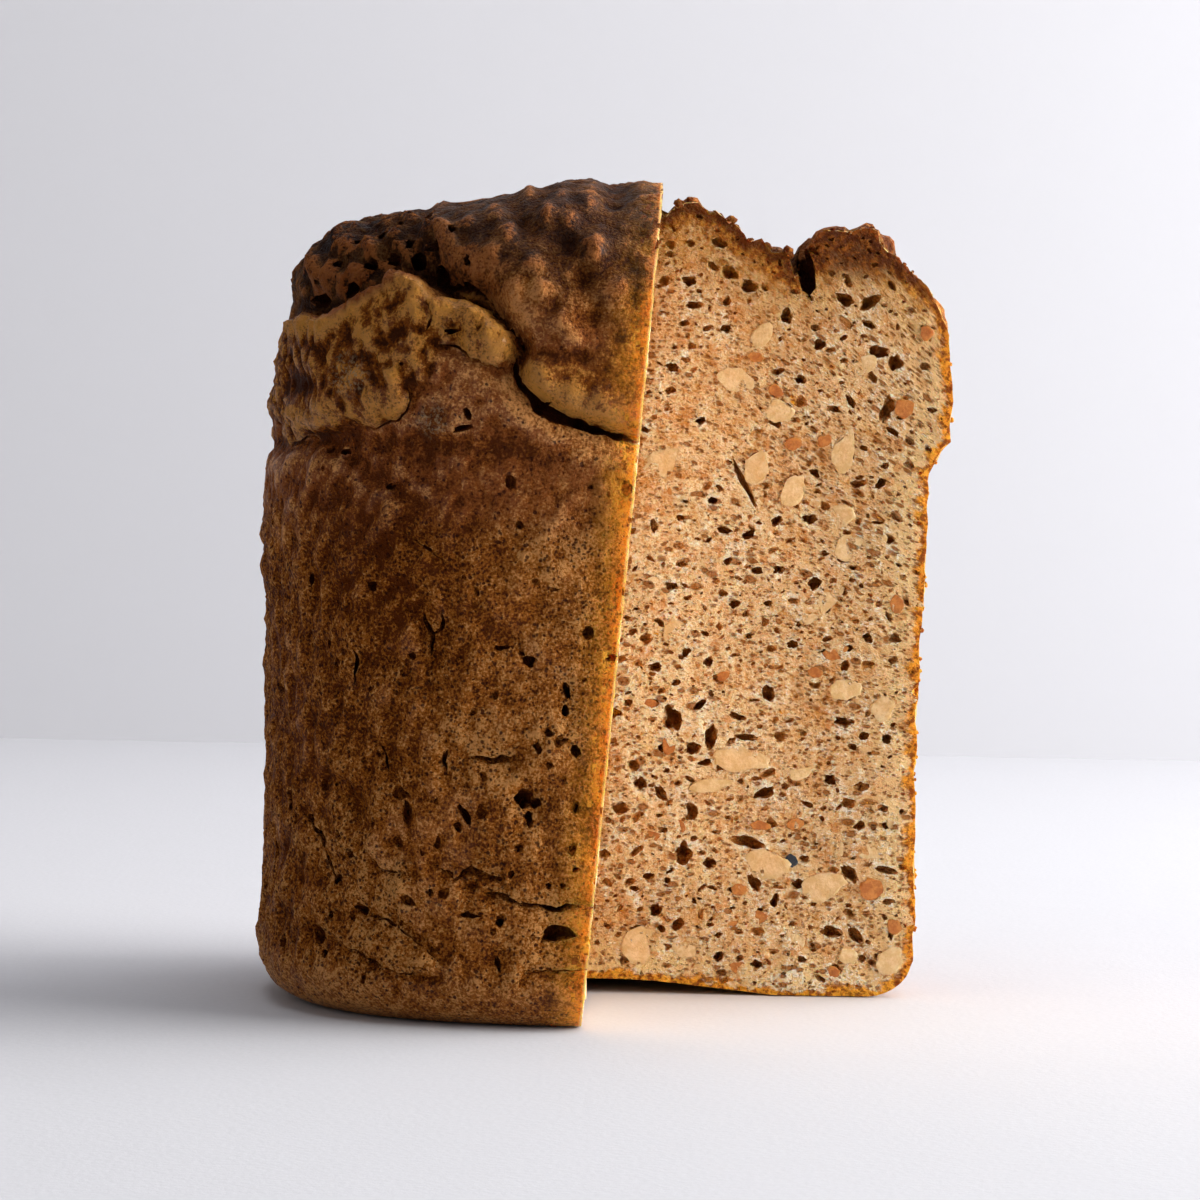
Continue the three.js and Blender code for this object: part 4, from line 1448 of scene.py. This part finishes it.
@dataclass(frozen=True)
class CrustFinish:
    """The baked crust: brown on the wall, nearly burnt on the crown, golden where it tore, with pinholes;
    shade in its holes, pits and hollows, highlight on its ridges and light beside the cuts are painted into
    its colour.
    """

    dark: Rgb = (0.130, 0.026, 0.001)
    brown: Rgb = (0.430, 0.128, 0.012)
    tan: Rgb = (0.80, 0.36, 0.105)
    rosy: Rgb = (0.275, 0.072, 0.014)
    burnt: Rgb = (0.016, 0.0032, 0.0008)
    scorched: Rgb = (0.31, 0.083, 0.016)
    golden_deep: Rgb = (0.092, 0.019, 0.001)
    golden: Rgb = (0.37, 0.090, 0.004)
    golden_pale: Rgb = (1.0, 0.42, 0.07)
    flour: Rgb = (0.66, 0.44, 0.24)
    # Painted shade of the pinholes, which are only dents in the bump.
    hole: Rgb = (0.046, 0.0060, 0.0006)
    # Painted shade inside pits and cracks.
    pit: Rgb = (0.060, 0.0100, 0.0012)
    # Painted light: the orange band of light through the thin crust beside the cuts, and the pale painted
    # highlight on the cut edge.
    painted_edge_glow: Rgb = (1.0, 0.42, 0.030)
    painted_edge_rim: Rgb = (1.0, 0.66, 0.26)
    painted_glow_reach: float = 9.0

    def build(self) -> bpy.types.Material:
        """Makes the material."""
        material, bench, shader = new_material("baked_crust")
        where = bench.place()
        burnt, torn, floury = (bench.attribute(name) for name in ("burnt", "torn", "floury"))
        depth, tone = bench.attribute("crust_depth"), bench.attribute("tone")
        broad, patch = bench.noise(where, 21, 3), bench.noise(where, 5.5, 4, 0.62)
        grain, fine = bench.noise(where, 1.3, 4, 0.7), bench.noise(where, 0.5, 2, 0.6)
        peak, smooth = bench.attribute("peak"), bench.attribute("smooth")
        # peak, here and in the speckle, ragged and ember mixes below, paints ridges lighter and hollows
        # darker: painted highlight and painted shade over the crust's own mottling.
        shade = bench.total((patch, 0.5), (grain, 1.15), (fine, 1.5), (broad, 0.5), (tone, 0.5), (peak, 0.4))
        colour = bench.mix(bench.spread(shade, 1.96, 2.28), self.dark, self.brown)
        colour = bench.mix(bench.spread(shade, 2.26, 2.62), colour, self.tan)
        rosy = bench.times(bench.attribute("rosy"), bench.spread(patch, 0.3, 0.6, 0.35, 0.9))
        speckle = bench.total((grain, 0.6), (fine, 0.5), (peak, 0.4))
        blush = bench.mix(bench.spread(speckle, 0.56, 0.80), self.golden_deep, self.rosy)
        colour = bench.mix(rosy, colour, bench.mix(bench.spread(speckle, 0.80, 1.04), blush, self.tan))
        # Torn crust is golden, and the crown is burnt.
        ragged = bench.total((patch, 0.4), (grain, 0.7), (fine, 0.6), (tone, 0.2), (peak, 0.5))
        gold = bench.mix(bench.spread(ragged, 1.02, 1.26), self.golden_deep, self.golden)
        gold = bench.mix(bench.spread(ragged, 1.21, 1.47), gold, self.golden_pale)
        colour = bench.mix(torn, colour, gold)
        darkest = bench.spread(burnt, 0.85, 1.0)
        ember = bench.total((grain, 0.6), (fine, 0.5), (patch, 0.3), (peak, 0.6), (tone, 0.3))
        ember = bench.total((darkest, -0.12), (ember, 1.0))
        scorch = bench.mix(bench.spread(ember, 1.20, 1.46), self.burnt, self.scorched)
        burnt_share = bench.math("MULTIPLY_ADD", bench.spread(patch, 0.3, 0.7), -0.2, burnt, clamp=True)
        colour = bench.mix(burnt_share, colour, scorch)
        crumble = bench.group("crumble", Place=where, Grain=0.7, Flecks=0.3)
        flour_share = bench.times(floury, bench.spread(crumble.outputs["Height"], 0.48, 0.64, 0, 0.7))
        colour = bench.mix(flour_share, colour, self.flour)
        # Pinholes crowd where the crust is neither smooth, torn nor burnt.
        covered = bench.math("MULTIPLY_ADD", smooth, 0.75, bench.math("ADD", torn, burnt), clamp=True)
        calm = bench.math("SUBTRACT", 1.0, covered)
        crowd = bench.times(calm, bench.spread(bench.noise(where, 11, 2), 0.36, 0.56, 0.40, 1.0))
        tiny = bench.group("pinholes", Place=where, Spacing=0.82, Size=0.34, Share=crowd, Softness=0.15)
        rare = bench.times(crowd, 0.35)
        wide = bench.group("pinholes", Place=where, Spacing=2.1, Size=0.15, Share=rare, Softness=0.10)
        hole = bench.math("MAXIMUM", tiny.outputs["Holes"], wide.outputs["Holes"])
        # Painted shade: the pinholes are only dents in the bump, and this dark colour stands for the shade
        # inside them.
        colour = bench.mix(bench.times(hole, 0.84), colour, self.hole)
        # Painted shade: the colour darkens with distance from the unbroken skin, deep in pits and cracks.
        inside = bench.spread(depth, 0.15, 2.0, 0, 0.85)
        colour = bench.mix(inside, colour, self.pit)
        # Beside the cuts the crust is thin, and light comes through it: that light is painted into the colour
        # as an orange band, with a pale painted highlight along the very edge.
        gap = bench.math("DIVIDE", bench.attribute("cut_distance"), self.painted_glow_reach, clamp=True)
        near = bench.math("SUBTRACT", 1.0, gap)
        patchy = bench.spread(bench.total((patch, 0.6), (grain, 0.7), (fine, 0.4)), 0.70, 1.0, 0.35, 1.3)
        painted_glow = bench.times(bench.math("POWER", near, 1.7), patchy)
        painted_glow = bench.times(painted_glow, bench.math("MULTIPLY_ADD", hole, -0.5, bench.math("SUBTRACT", 1.0, inside)))
        painted_glow = bench.times(painted_glow, bench.math("MULTIPLY_ADD", burnt, -0.9, 1.0))
        colour = bench.mix(painted_glow, colour, self.painted_edge_glow)
        colour = bench.mix(bench.spread(near, 0.93, 0.98, 0, 0.8), colour, self.painted_edge_rim)
        bench.feed(shader, "Base Color", colour)
        mottle = bench.total((patch, 0.6), (grain, 0.4))
        bench.feed(shader, "Roughness", bench.spread(mottle, 0.35, 0.65, 0.46, 0.74))
        gloss = bench.times(smooth, bench.math("MULTIPLY_ADD", burnt, -0.75, 1.0))
        bench.feed(shader, "Coat Weight", bench.times(gloss, bench.spread(peak, 0.45, 0.85, 0.02, 0.32)))
        crags = bench.times(crumble.outputs["Height"], bench.math("ADD", torn, floury, clamp=True))
        calmer = bench.math("MULTIPLY_ADD", smooth, -0.35, 1.0)
        rough = bench.times(calmer, bench.total((grain, 1.1), (fine, 0.4)))
        relief = bench.total((patch, 0.9), (rough, 1.0), (crags, 2.0), (hole, -0.6))
        bench.bump(shader, relief, 2.9)
        bench.feed(shader, "Subsurface Weight", bench.spread(near, 0.0, 0.8, 0.03, 0.45))
        bench.fix(shader, {
            "Coat Roughness": 0.30, "Specular IOR Level": 0.07,
            "Subsurface Radius": (0.0050, 0.0016, 0.0004), "Subsurface Scale": 1.0,
        })
        return material


@dataclass(frozen=True)
class CrumbFinish:
    """The open crumb: beige and pale in its walls, with brown painted shade in its pores, painted shade
    towards the crust, painted light at its rim and painted glints, bran flecks and a baked rim.
    """

    wall: Rgb = (0.76, 0.36, 0.105)
    pale_wall: Rgb = (1.0, 0.735, 0.42)
    painted_glint: Rgb = (1.0, 0.91, 0.72)
    rosy_wall: Rgb = (0.78, 0.41, 0.18)
    cream_and_rim_light: Rgb = (0.98, 0.68, 0.32)
    rusty: Rgb = (0.66, 0.22, 0.028)
    # Painted shade inside pores.
    pore_shade: Rgb = (0.34, 0.105, 0.010)
    deep_pore_shade: Rgb = (0.30, 0.085, 0.007)
    baked: Rgb = (0.98, 0.42, 0.04)
    baked_top: Rgb = (0.34, 0.095, 0.010)
    toasted: Rgb = (0.74, 0.32, 0.048)
    burnt_top: Rgb = (0.13, 0.030, 0.004)
    outer_painted_shade: Rgb = (0.62, 0.27, 0.055)
    arch_middle: float = 8.0
    toast_reach: float = 15.0

    def along_dome(self, bench: NodeBench, where: Socket) -> tuple[Socket, Socket, Socket]:
        """Bends the place so that patterns stretch sideways and, higher up, slope down with the dome.

        Args:
            bench: The material's bench.
            where: The place on the piece.

        Returns:
            The bent place, the height and the distance to the right.
        """
        parts = bench.add("ShaderNodeSeparateXYZ")
        bench.feed(parts, 0, where)
        away = bench.math("SUBTRACT", parts.outputs[0], self.arch_middle * MM)
        fall = bench.times(bench.times(away, away), bench.spread(parts.outputs[2], 0.02, 0.14, 0, 8))
        bent = bench.add("ShaderNodeCombineXYZ")
        bench.feed(bent, 0, bench.times(parts.outputs[0], 0.62))
        bench.feed(bent, 1, bench.times(parts.outputs[1], 0.75))
        bench.feed(bent, 2, bench.math("ADD", parts.outputs[2], fall))
        return bent.outputs[0], parts.outputs[2], parts.outputs[0]

    def build(self) -> bpy.types.Material:
        """Makes the material."""
        material, bench, shader = new_material("open_crumb")
        where = bench.place()
        bent, height, across = self.along_dome(bench, where)
        depth, pore_depth = bench.attribute("crust_depth"), bench.attribute("cut_distance")
        broad, middling = bench.noise(where, 15, 3), bench.noise(bent, 3.4, 4, 0.6)
        foam, fine = bench.noise(bent, 0.75, 3, 0.7), bench.noise(where, 0.4, 2, 0.6)
        # peak makes the crumb's ridges paler and its hollows darker: painted highlight and painted shade.
        shade = bench.total((foam, 0.62), (fine, 0.38), (middling, 0.35), (bench.attribute("peak"), 0.35))
        colour = bench.mix(bench.spread(shade, 0.70, 0.96), self.wall, self.pale_wall)
        # Painted shade: the crumb darkens towards the crust, for the light falling off across the cut face.
        colour = bench.mix(bench.spread(depth, 46, 4, 0, 0.42), colour, self.outer_painted_shade)
        # Painted light: the crumb within a few millimetres of the crust is paler, for the light coming
        # through the rim; the same pale colour also marks real pale spots below.
        colour = bench.mix(bench.spread(depth, 11, 3, 0, 0.8), colour, self.cream_and_rim_light)
        colour = bench.mix(bench.spread(broad, 0.52, 0.70, 0, 0.4), colour, self.rosy_wall)
        # Bran and flour left their own colours in the dough.
        spots = bench.noise(where, 5.2, 2, 0.5)
        colour = bench.mix(bench.spread(spots, 0.60, 0.70, 0, 0.42), colour, self.rusty)
        colour = bench.mix(bench.spread(spots, 0.40, 0.31, 0, 0.55), colour, self.cream_and_rim_light)
        crumble = bench.group("crumble", Place=where, Grain=1.5, Flecks=0.055)
        colour = bench.mix(bench.times(crumble.outputs["Specks"], 0.45), colour, self.rusty)
        # Painted highlight: pale glints on the highest parts of the crumb's mottle.
        colour = bench.mix(bench.spread(shade, 0.93, 1.08, 0, 0.85), colour, self.painted_glint)
        # Painted shade: dark spots for the finest pores, which are not modelled, and darker colour deeper
        # inside the modelled ones.
        tiny = bench.group("pinholes", Place=bent, Spacing=0.62, Size=0.38, Share=0.62, Softness=0.16)
        small = bench.group("pinholes", Place=bent, Spacing=1.15, Size=0.38, Share=0.58, Softness=0.18)
        wide = bench.group("pinholes", Place=bent, Spacing=2.1, Size=0.31, Share=0.42, Softness=0.13)
        hole = bench.math("MAXIMUM", small.outputs["Holes"], wide.outputs["Holes"])
        colour = bench.mix(bench.times(tiny.outputs["Holes"], 0.55), colour, self.pore_shade)
        colour = bench.mix(bench.times(hole, 0.85), colour, self.pore_shade)
        colour = bench.mix(bench.spread(pore_depth, 0.2, 1.4, 0, 0.8), colour, self.pore_shade)
        colour = bench.mix(bench.spread(pore_depth, 1.4, 3.6, 0, 0.8), colour, self.deep_pore_shade)
        # The crumb is toasted under the crown and baked to a skin all round.
        top = bench.spread(height, 0.122, 0.142)
        shallow = bench.math("SUBTRACT", 1.0, bench.math("DIVIDE", depth, self.toast_reach, clamp=True))
        mottle = bench.total((middling, 0.6), (foam, 0.4))
        toast = bench.times(bench.times(shallow, top), bench.spread(mottle, 0.38, 0.58, 0.1, 1.3))
        colour = bench.mix(toast, colour, self.toasted)
        uneven = bench.spread(middling, 0.3, 0.7, -1.6, 3.0)
        reach = bench.math("ADD", bench.math("MULTIPLY_ADD", top, 3.0, 1.6), uneven)
        baked = bench.math("SUBTRACT", 1.0, bench.math("DIVIDE", depth, reach, clamp=True))
        crisp = bench.mix(bench.spread(crumble.outputs["Height"], 0.42, 0.60), self.baked_top, self.toasted)
        skin = bench.mix(bench.spread(crumble.outputs["Height"], 0.40, 0.56), self.baked_top, self.baked)
        colour = bench.mix(bench.spread(baked, 0.0, 0.6), colour, bench.mix(top, skin, crisp))
        colour = bench.mix(bench.times(bench.spread(baked, 0.55, 0.85, 0, 0.85), top), colour, self.burnt_top)
        knob = bench.times(bench.spread(height, 0.1365, 0.1420), bench.spread(across, 0.031, 0.036, 0, 0.9))
        crisp_knob = bench.spread(crumble.outputs["Height"], 0.45, 0.62)
        colour = bench.mix(knob, colour, bench.mix(crisp_knob, self.burnt_top, self.baked_top))
        bench.feed(shader, "Base Color", colour)
        bench.feed(shader, "Roughness", bench.spread(foam, 0.35, 0.65, 0.40, 0.70))
        pinholes = bench.total((tiny.outputs["Holes"], -0.45), (hole, -1.0))
        relief = bench.total((foam, 1.1), (middling, 0.7), (fine, 0.35), (pinholes, 1.0))
        crags = bench.times(toast, crumble.outputs["Height"])
        bench.bump(shader, bench.total((relief, 1.0), (crags, 2.2)), 1.0)
        bench.fix(shader, {
            "Specular IOR Level": 0.08, "Subsurface Weight": 0.22,
            "Subsurface Radius": (0.0032, 0.0014, 0.0005), "Subsurface Scale": 1.0,
        })
        return material


@dataclass(frozen=True)
class GrainFinish:
    """A cut kernel or grain: smooth, faintly streaked along its length, with a soft cloud."""

    name: str
    flesh: Rgb
    cloud: Rgb
    roughness: float = 0.5

    def build(self) -> bpy.types.Material:
        """Makes the material."""
        material, bench, shader = new_material(self.name)
        where = bench.place()
        cloudy = bench.total((bench.noise(where, 2.6, 4, 0.6), 0.7), (bench.noise(where, 0.6, 2), 0.3))
        bench.feed(shader, "Base Color", bench.mix(bench.spread(cloudy, 0.40, 0.64), self.flesh, self.cloud))
        crumble = bench.group("crumble", Place=where, Grain=0.5, Flecks=0.05)
        low, high = self.roughness - 0.1, self.roughness + 0.15
        bench.feed(shader, "Roughness", bench.spread(crumble.outputs["Height"], 0.3, 0.7, low, high))
        bench.bump(shader, crumble.outputs["Height"], 0.3, 0.6)
        bench.fix(shader, {
            "Subsurface Weight": 0.3, "Subsurface Radius": (0.0024, 0.0014, 0.0006), "Subsurface Scale": 1.0,
        })
        return material


# --- Kernels and grains ---


class Grain(Enum):
    """What was baked into the dough."""

    PALE = "sunflower_kernels"
    RED = "red_grains"
    DARK = "dark_seed"


GRAIN_FINISHES: dict[Grain, GrainFinish] = {
    Grain.PALE: GrainFinish("kernel_flesh", (0.78, 0.48, 0.20), (0.92, 0.64, 0.34), 0.5),
    Grain.RED: GrainFinish("red_grain", (0.44, 0.125, 0.014), (0.66, 0.25, 0.045), 0.45),
    Grain.DARK: GrainFinish("dark_seed", (0.010, 0.012, 0.020), (0.035, 0.045, 0.070), 0.35),
}


# The grains in the straight cut face, by kind: x, z, length, width, and tilt in degrees.
CUT_GRAINS: dict[Grain, tuple[tuple[float, float, float, float, float], ...]] = {
    Grain.PALE: (
        (26.6, 45.5, 11.2, 4.8, -2), (41.1, 75.7, 10, 4, 38), (45.2, 105.4, 9.3, 4.2, 78),
        (53.6, 29.6, 9.2, 5.2, 12), (24.3, 118.7, 8, 4.4, -20), (28.9, 127.5, 5.5, 3.5, 50),
        (32.7, 112.9, 5.6, 4.4, 0), (28.4, 102.0, 7, 4.4, 75), (35.5, 97.7, 6, 4, 60),
        (12.0, 102.5, 10, 5.5, 0), (44.8, 92.9, 5.5, 4, 20), (46.5, 87.1, 6.5, 4.5, 50),
        (51.5, 88.4, 6.5, 4, 75), (6.5, 87.9, 8, 3.4, 80), (48.9, 122.3, 5, 3.5, 30), (13.6, 69.9, 5, 4.2, 0),
        (46.6, 59.6, 6.5, 4, 15), (20.9, 40.4, 8, 2.6, 12), (31.8, 25.3, 8.4, 5.6, -8),
        (42.9, 21.3, 8.5, 5.2, 18), (44.9, 28.2, 5, 4, 0), (8.6, 9.1, 8, 7.2, 0), (37.5, 10.2, 4, 3.6, 0),
        (56.0, 7.0, 6, 4.6, 60), (53.8, 56, 5, 4, 60), (57.0, 33.6, 4, 3, 0), (38, 43, 4, 2.4, 20),
        (48.0, 7.8, 3.4, 3.0, 0), (17.6, 9.0, 6.5, 4.2, 10), (19, 84.0, 5, 3.2, -30),
    ),
    Grain.RED: (
        (52.4, 38.6, 5.2, 4.2, 30), (52.7, 20.8, 5.2, 4.2, -10), (24.2, 14, 5, 3.2, -12),
        (30.6, 14.9, 3.4, 2.4, 10), (14.1, 15.7, 3, 2.6, 0), (9.4, 29.9, 4.4, 3.2, 10), (15, 32.1, 2, 3, 0),
        (30.7, 32.8, 3.6, 1.8, -8), (26.8, 5.2, 3.6, 2.4, 8), (44.4, 66.7, 5, 3, 15), (57, 13.7, 3, 3, 0),
        (26.7, 20.4, 3, 2.4, 0), (12.6, 47.9, 2.4, 3.4, 0), (27.8, 123.2, 3, 2, -10),
        (60.6, 128.5, 2.6, 3, 0), (35.4, 106.7, 3.4, 2.4, 10), (41.4, 107.4, 2.8, 2.2, 30),
        (56.6, 113.8, 4, 3.6, 20), (31.8, 116.8, 3, 2.2, -20), (13, 97.5, 4, 2, 15),
        (37.4, 33.2, 3.4, 2.4, 20), (45, 4.6, 2.8, 2.4, 0), (40.6, 62.6, 3, 2, 0), (22.8, 61.6, 2.6, 1.8, 30),
        (56.0, 76, 2.6, 3.4, 0), (8.8, 56, 2.8, 2, 0),
    ),
    Grain.DARK: ((36.6, 26.0, 2.6, 2.6, 0),),
}


@dataclass
class GrainSet:
    """All the grains of one kind, as one piece whose grains are copies of one shape."""

    kind: Grain
    cuts: KnifeCuts
    noise: DoughNoise
    seed: int
    scattered: int = 0
    proud: float = 0.07

    def build(self) -> Piece:
        """Models the grains.

        Returns:
            The piece.
        """
        ball, faces = Bench.ball(3)
        points, corners, count = [], [], 0
        draw = np.random.default_rng(self.seed)
        placed = [
            (np.array([x, self.cuts.straight_y, z]), self.cuts.straight_out, length, width, tilt)
            for x, z, length, width, tilt in CUT_GRAINS[self.kind]
        ]
        for _ in range(self.scattered):
            z, y = draw.uniform(6, 138), draw.uniform(-53, -4)
            spot = np.array([self.cuts.leaning_x(z), y, z])
            length = draw.uniform(5, 10) if self.kind is Grain.PALE else draw.uniform(2, 4.5)
            width, tilt = length * draw.uniform(0.45, 0.7), draw.uniform(-80, 80)
            placed.append((spot, self.cuts.leaning_out, length, width, tilt))
        for spot, out, length, width, tilt in placed:
            axes = BreadBody.surface_axes(draw.normal(0, 0.035, 3) + out, tilt)
            taper = 1 - 0.22 * ball[:, 0]
            lumps = 1 + 0.30 * self.noise.layered(ball + spot, 0.8, 3, 0.6)
            shaped = ball * [length / 2, width / 2, width / 2]
            shaped[:, 1] *= taper
            shaped *= lumps[:, None]
            flattened = self.proud * np.tanh(shaped[:, 2] / self.proud)
            shaped[:, 2] = np.where(shaped[:, 2] > 0, flattened, shaped[:, 2])
            points.append(spot + shaped @ axes)
            corners.append(faces + count)
            count += len(ball)
        piece = Bench.piece_from(self.kind.value, np.vstack(points), np.vstack(corners))
        Bench.hold(piece)
        bpy.ops.object.shade_smooth_by_angle(angle=math.radians(60))
        piece.data.materials.append(GRAIN_FINISHES[self.kind].build())
        return piece


# --- The studio ---


@dataclass
class Studio:
    """A pale table, a pale wall behind it, a large soft light from the right, and the camera."""

    wall_y: float = 650.0
    half_table: float = 2600.0

    def build(self) -> None:
        """Sets everything up around the loaf."""
        bpy.context.scene.view_settings.view_transform = "Standard"
        self.table()
        self.wall()
        self.lights()
        self.camera()

    def table(self) -> None:
        """Lays the table's white cloth."""
        Bench.clear_hands()
        bpy.ops.mesh.primitive_plane_add(size=2 * self.half_table * MM, location=(0, 0, -0.0002))
        table = bpy.context.object
        table.name = "table"
        material, bench, shader = new_material("white_cloth")
        where = bench.place()
        nap, broad = bench.noise(where, 1.4, 3, 0.6), bench.noise(where, 60, 3)
        bench.bump(shader, bench.total((nap, 0.5), (broad, 2.0)), 0.25, 0.5)
        cloth = bench.mix(bench.spread(nap, 0.3, 0.7), (0.575, 0.575, 0.605), (0.595, 0.595, 0.625))
        bench.feed(shader, "Base Color", cloth)
        bench.feed(shader, "Roughness", 0.9)
        table.data.materials.append(material)

    def wall(self) -> None:
        """Stands the wall up behind the table; it can be seen only from its front."""
        Bench.clear_hands()
        bpy.ops.mesh.primitive_plane_add(size=2 * self.half_table * MM, location=(0, self.wall_y * MM, 0))
        wall = bpy.context.object
        wall.name = "wall"
        wall.rotation_euler = (math.radians(90), 0, 0)
        material, bench, shader = new_material("pale_wall")
        bench.feed(shader, "Base Color", (0.550, 0.550, 0.578))
        bench.feed(shader, "Roughness", 0.95)
        facing = bench.add("ShaderNodeNewGeometry").outputs["Backfacing"]
        clear = bench.add("ShaderNodeBsdfTransparent")
        either = bench.add("ShaderNodeMixShader")
        bench.feed(either, 0, facing)
        bench.tree.links.new(shader.outputs[0], either.inputs[1])
        bench.tree.links.new(clear.outputs[0], either.inputs[2])
        out = next(node for node in bench.tree.nodes if node.type == "OUTPUT_MATERIAL")
        bench.tree.links.new(either.outputs[0], out.inputs[0])
        wall.data.materials.append(material)

    def lights(self) -> None:
        """Hangs the low key light on the right and three weaker ones, and lights the room."""
        self.area("key", (1.3, -0.1, 0.2), 54.0, (1.0, 0.985, 0.965))
        self.area("high_back", (0.9, 0.3, 1.0), 12.5, (1.0, 0.99, 0.98))
        self.area("overhead", (0.0, 0.0, 1.4), 6.6, (0.96, 0.97, 1.0))
        self.area("fill", (-0.8, -0.75, 0.5), 2.2, (1.0, 0.98, 0.96))
        world = bpy.data.worlds.new("room")
        bpy.context.scene.world = world
        world.use_nodes = True
        bench = NodeBench(world.node_tree)
        back = world.node_tree.nodes["Background"]
        back.inputs[0].default_value = (0.93, 0.94, 1.0, 1.0)
        seen = bench.add("ShaderNodeLightPath").outputs["Is Camera Ray"]
        bench.feed(back, 1, bench.spread(seen, 0.0, 1.0, 0.08, 0.75))

    @staticmethod
    def area(name: str, place: Sequence[float], power: float, colour: Rgb) -> None:
        """Hangs one large soft light that points at the loaf.

        Args:
            name: The light's name.
            place: Where it hangs, in metres.
            power: Its power in watts.
            colour: Its colour.
        """
        data = bpy.data.lights.new(name, "AREA")
        data.shape = "RECTANGLE"
        data.size, data.size_y = 1.1, 1.0
        data.energy = power
        data.color = colour
        light = bpy.data.objects.new(name, data)
        bpy.context.scene.collection.objects.link(light)
        light.location = place
        light.rotation_euler = (Vector((0, 0, 0.08)) - Vector(place)).to_track_quat("-Z", "Y").to_euler()

    @staticmethod
    def camera() -> None:
        """Sets the camera up in front of the loaf, a little above its middle, and slightly rolled."""
        data = bpy.data.cameras.new("camera")
        data.lens = 126.0
        data.sensor_width = 36.0
        camera = bpy.data.objects.new("camera", data)
        bpy.context.scene.collection.objects.link(camera)
        camera.matrix_world = (
            Matrix.Translation(Vector(VIEWPOINT) * MM)
            @ Matrix.Rotation(math.radians(90 - 2.11), 4, "X")
            @ Matrix.Rotation(math.radians(1.1), 4, "Z")
        )
        bpy.context.scene.camera = camera


# --- Putting it together ---


def place_piece(piece: Piece, slot: str) -> None:
    """Puts a piece on the loaf's body, in place of the CAD loaf.

    Args:
        piece: The finished piece.
        slot: The record's material slot; it is only logged.
    """
    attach(piece, "root")
    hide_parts("bread_loaf")
    log.info("%s: %d faces, slot %s", piece.name, len(piece.data.polygons), slot)


def main() -> None:
    """Builds the loaf and its studio."""
    logging.basicConfig(level=logging.INFO, format="%(name)s: %(message)s")
    form, cuts = LoafForm(), KnifeCuts()
    noise = DoughNoise(5)
    SharedEffects().build()
    bread = BreadBody(form, cuts, CrustRelief(form, noise), noise).build()
    place_piece(bread, "crust")
    for kind, seed, scattered in ((Grain.PALE, 21, 15), (Grain.RED, 22, 22), (Grain.DARK, 23, 0)):
        place_piece(GrainSet(kind, cuts, noise, seed, scattered).build(), "kernels")
    Studio().build()


if __name__ == "__main__":
    main()
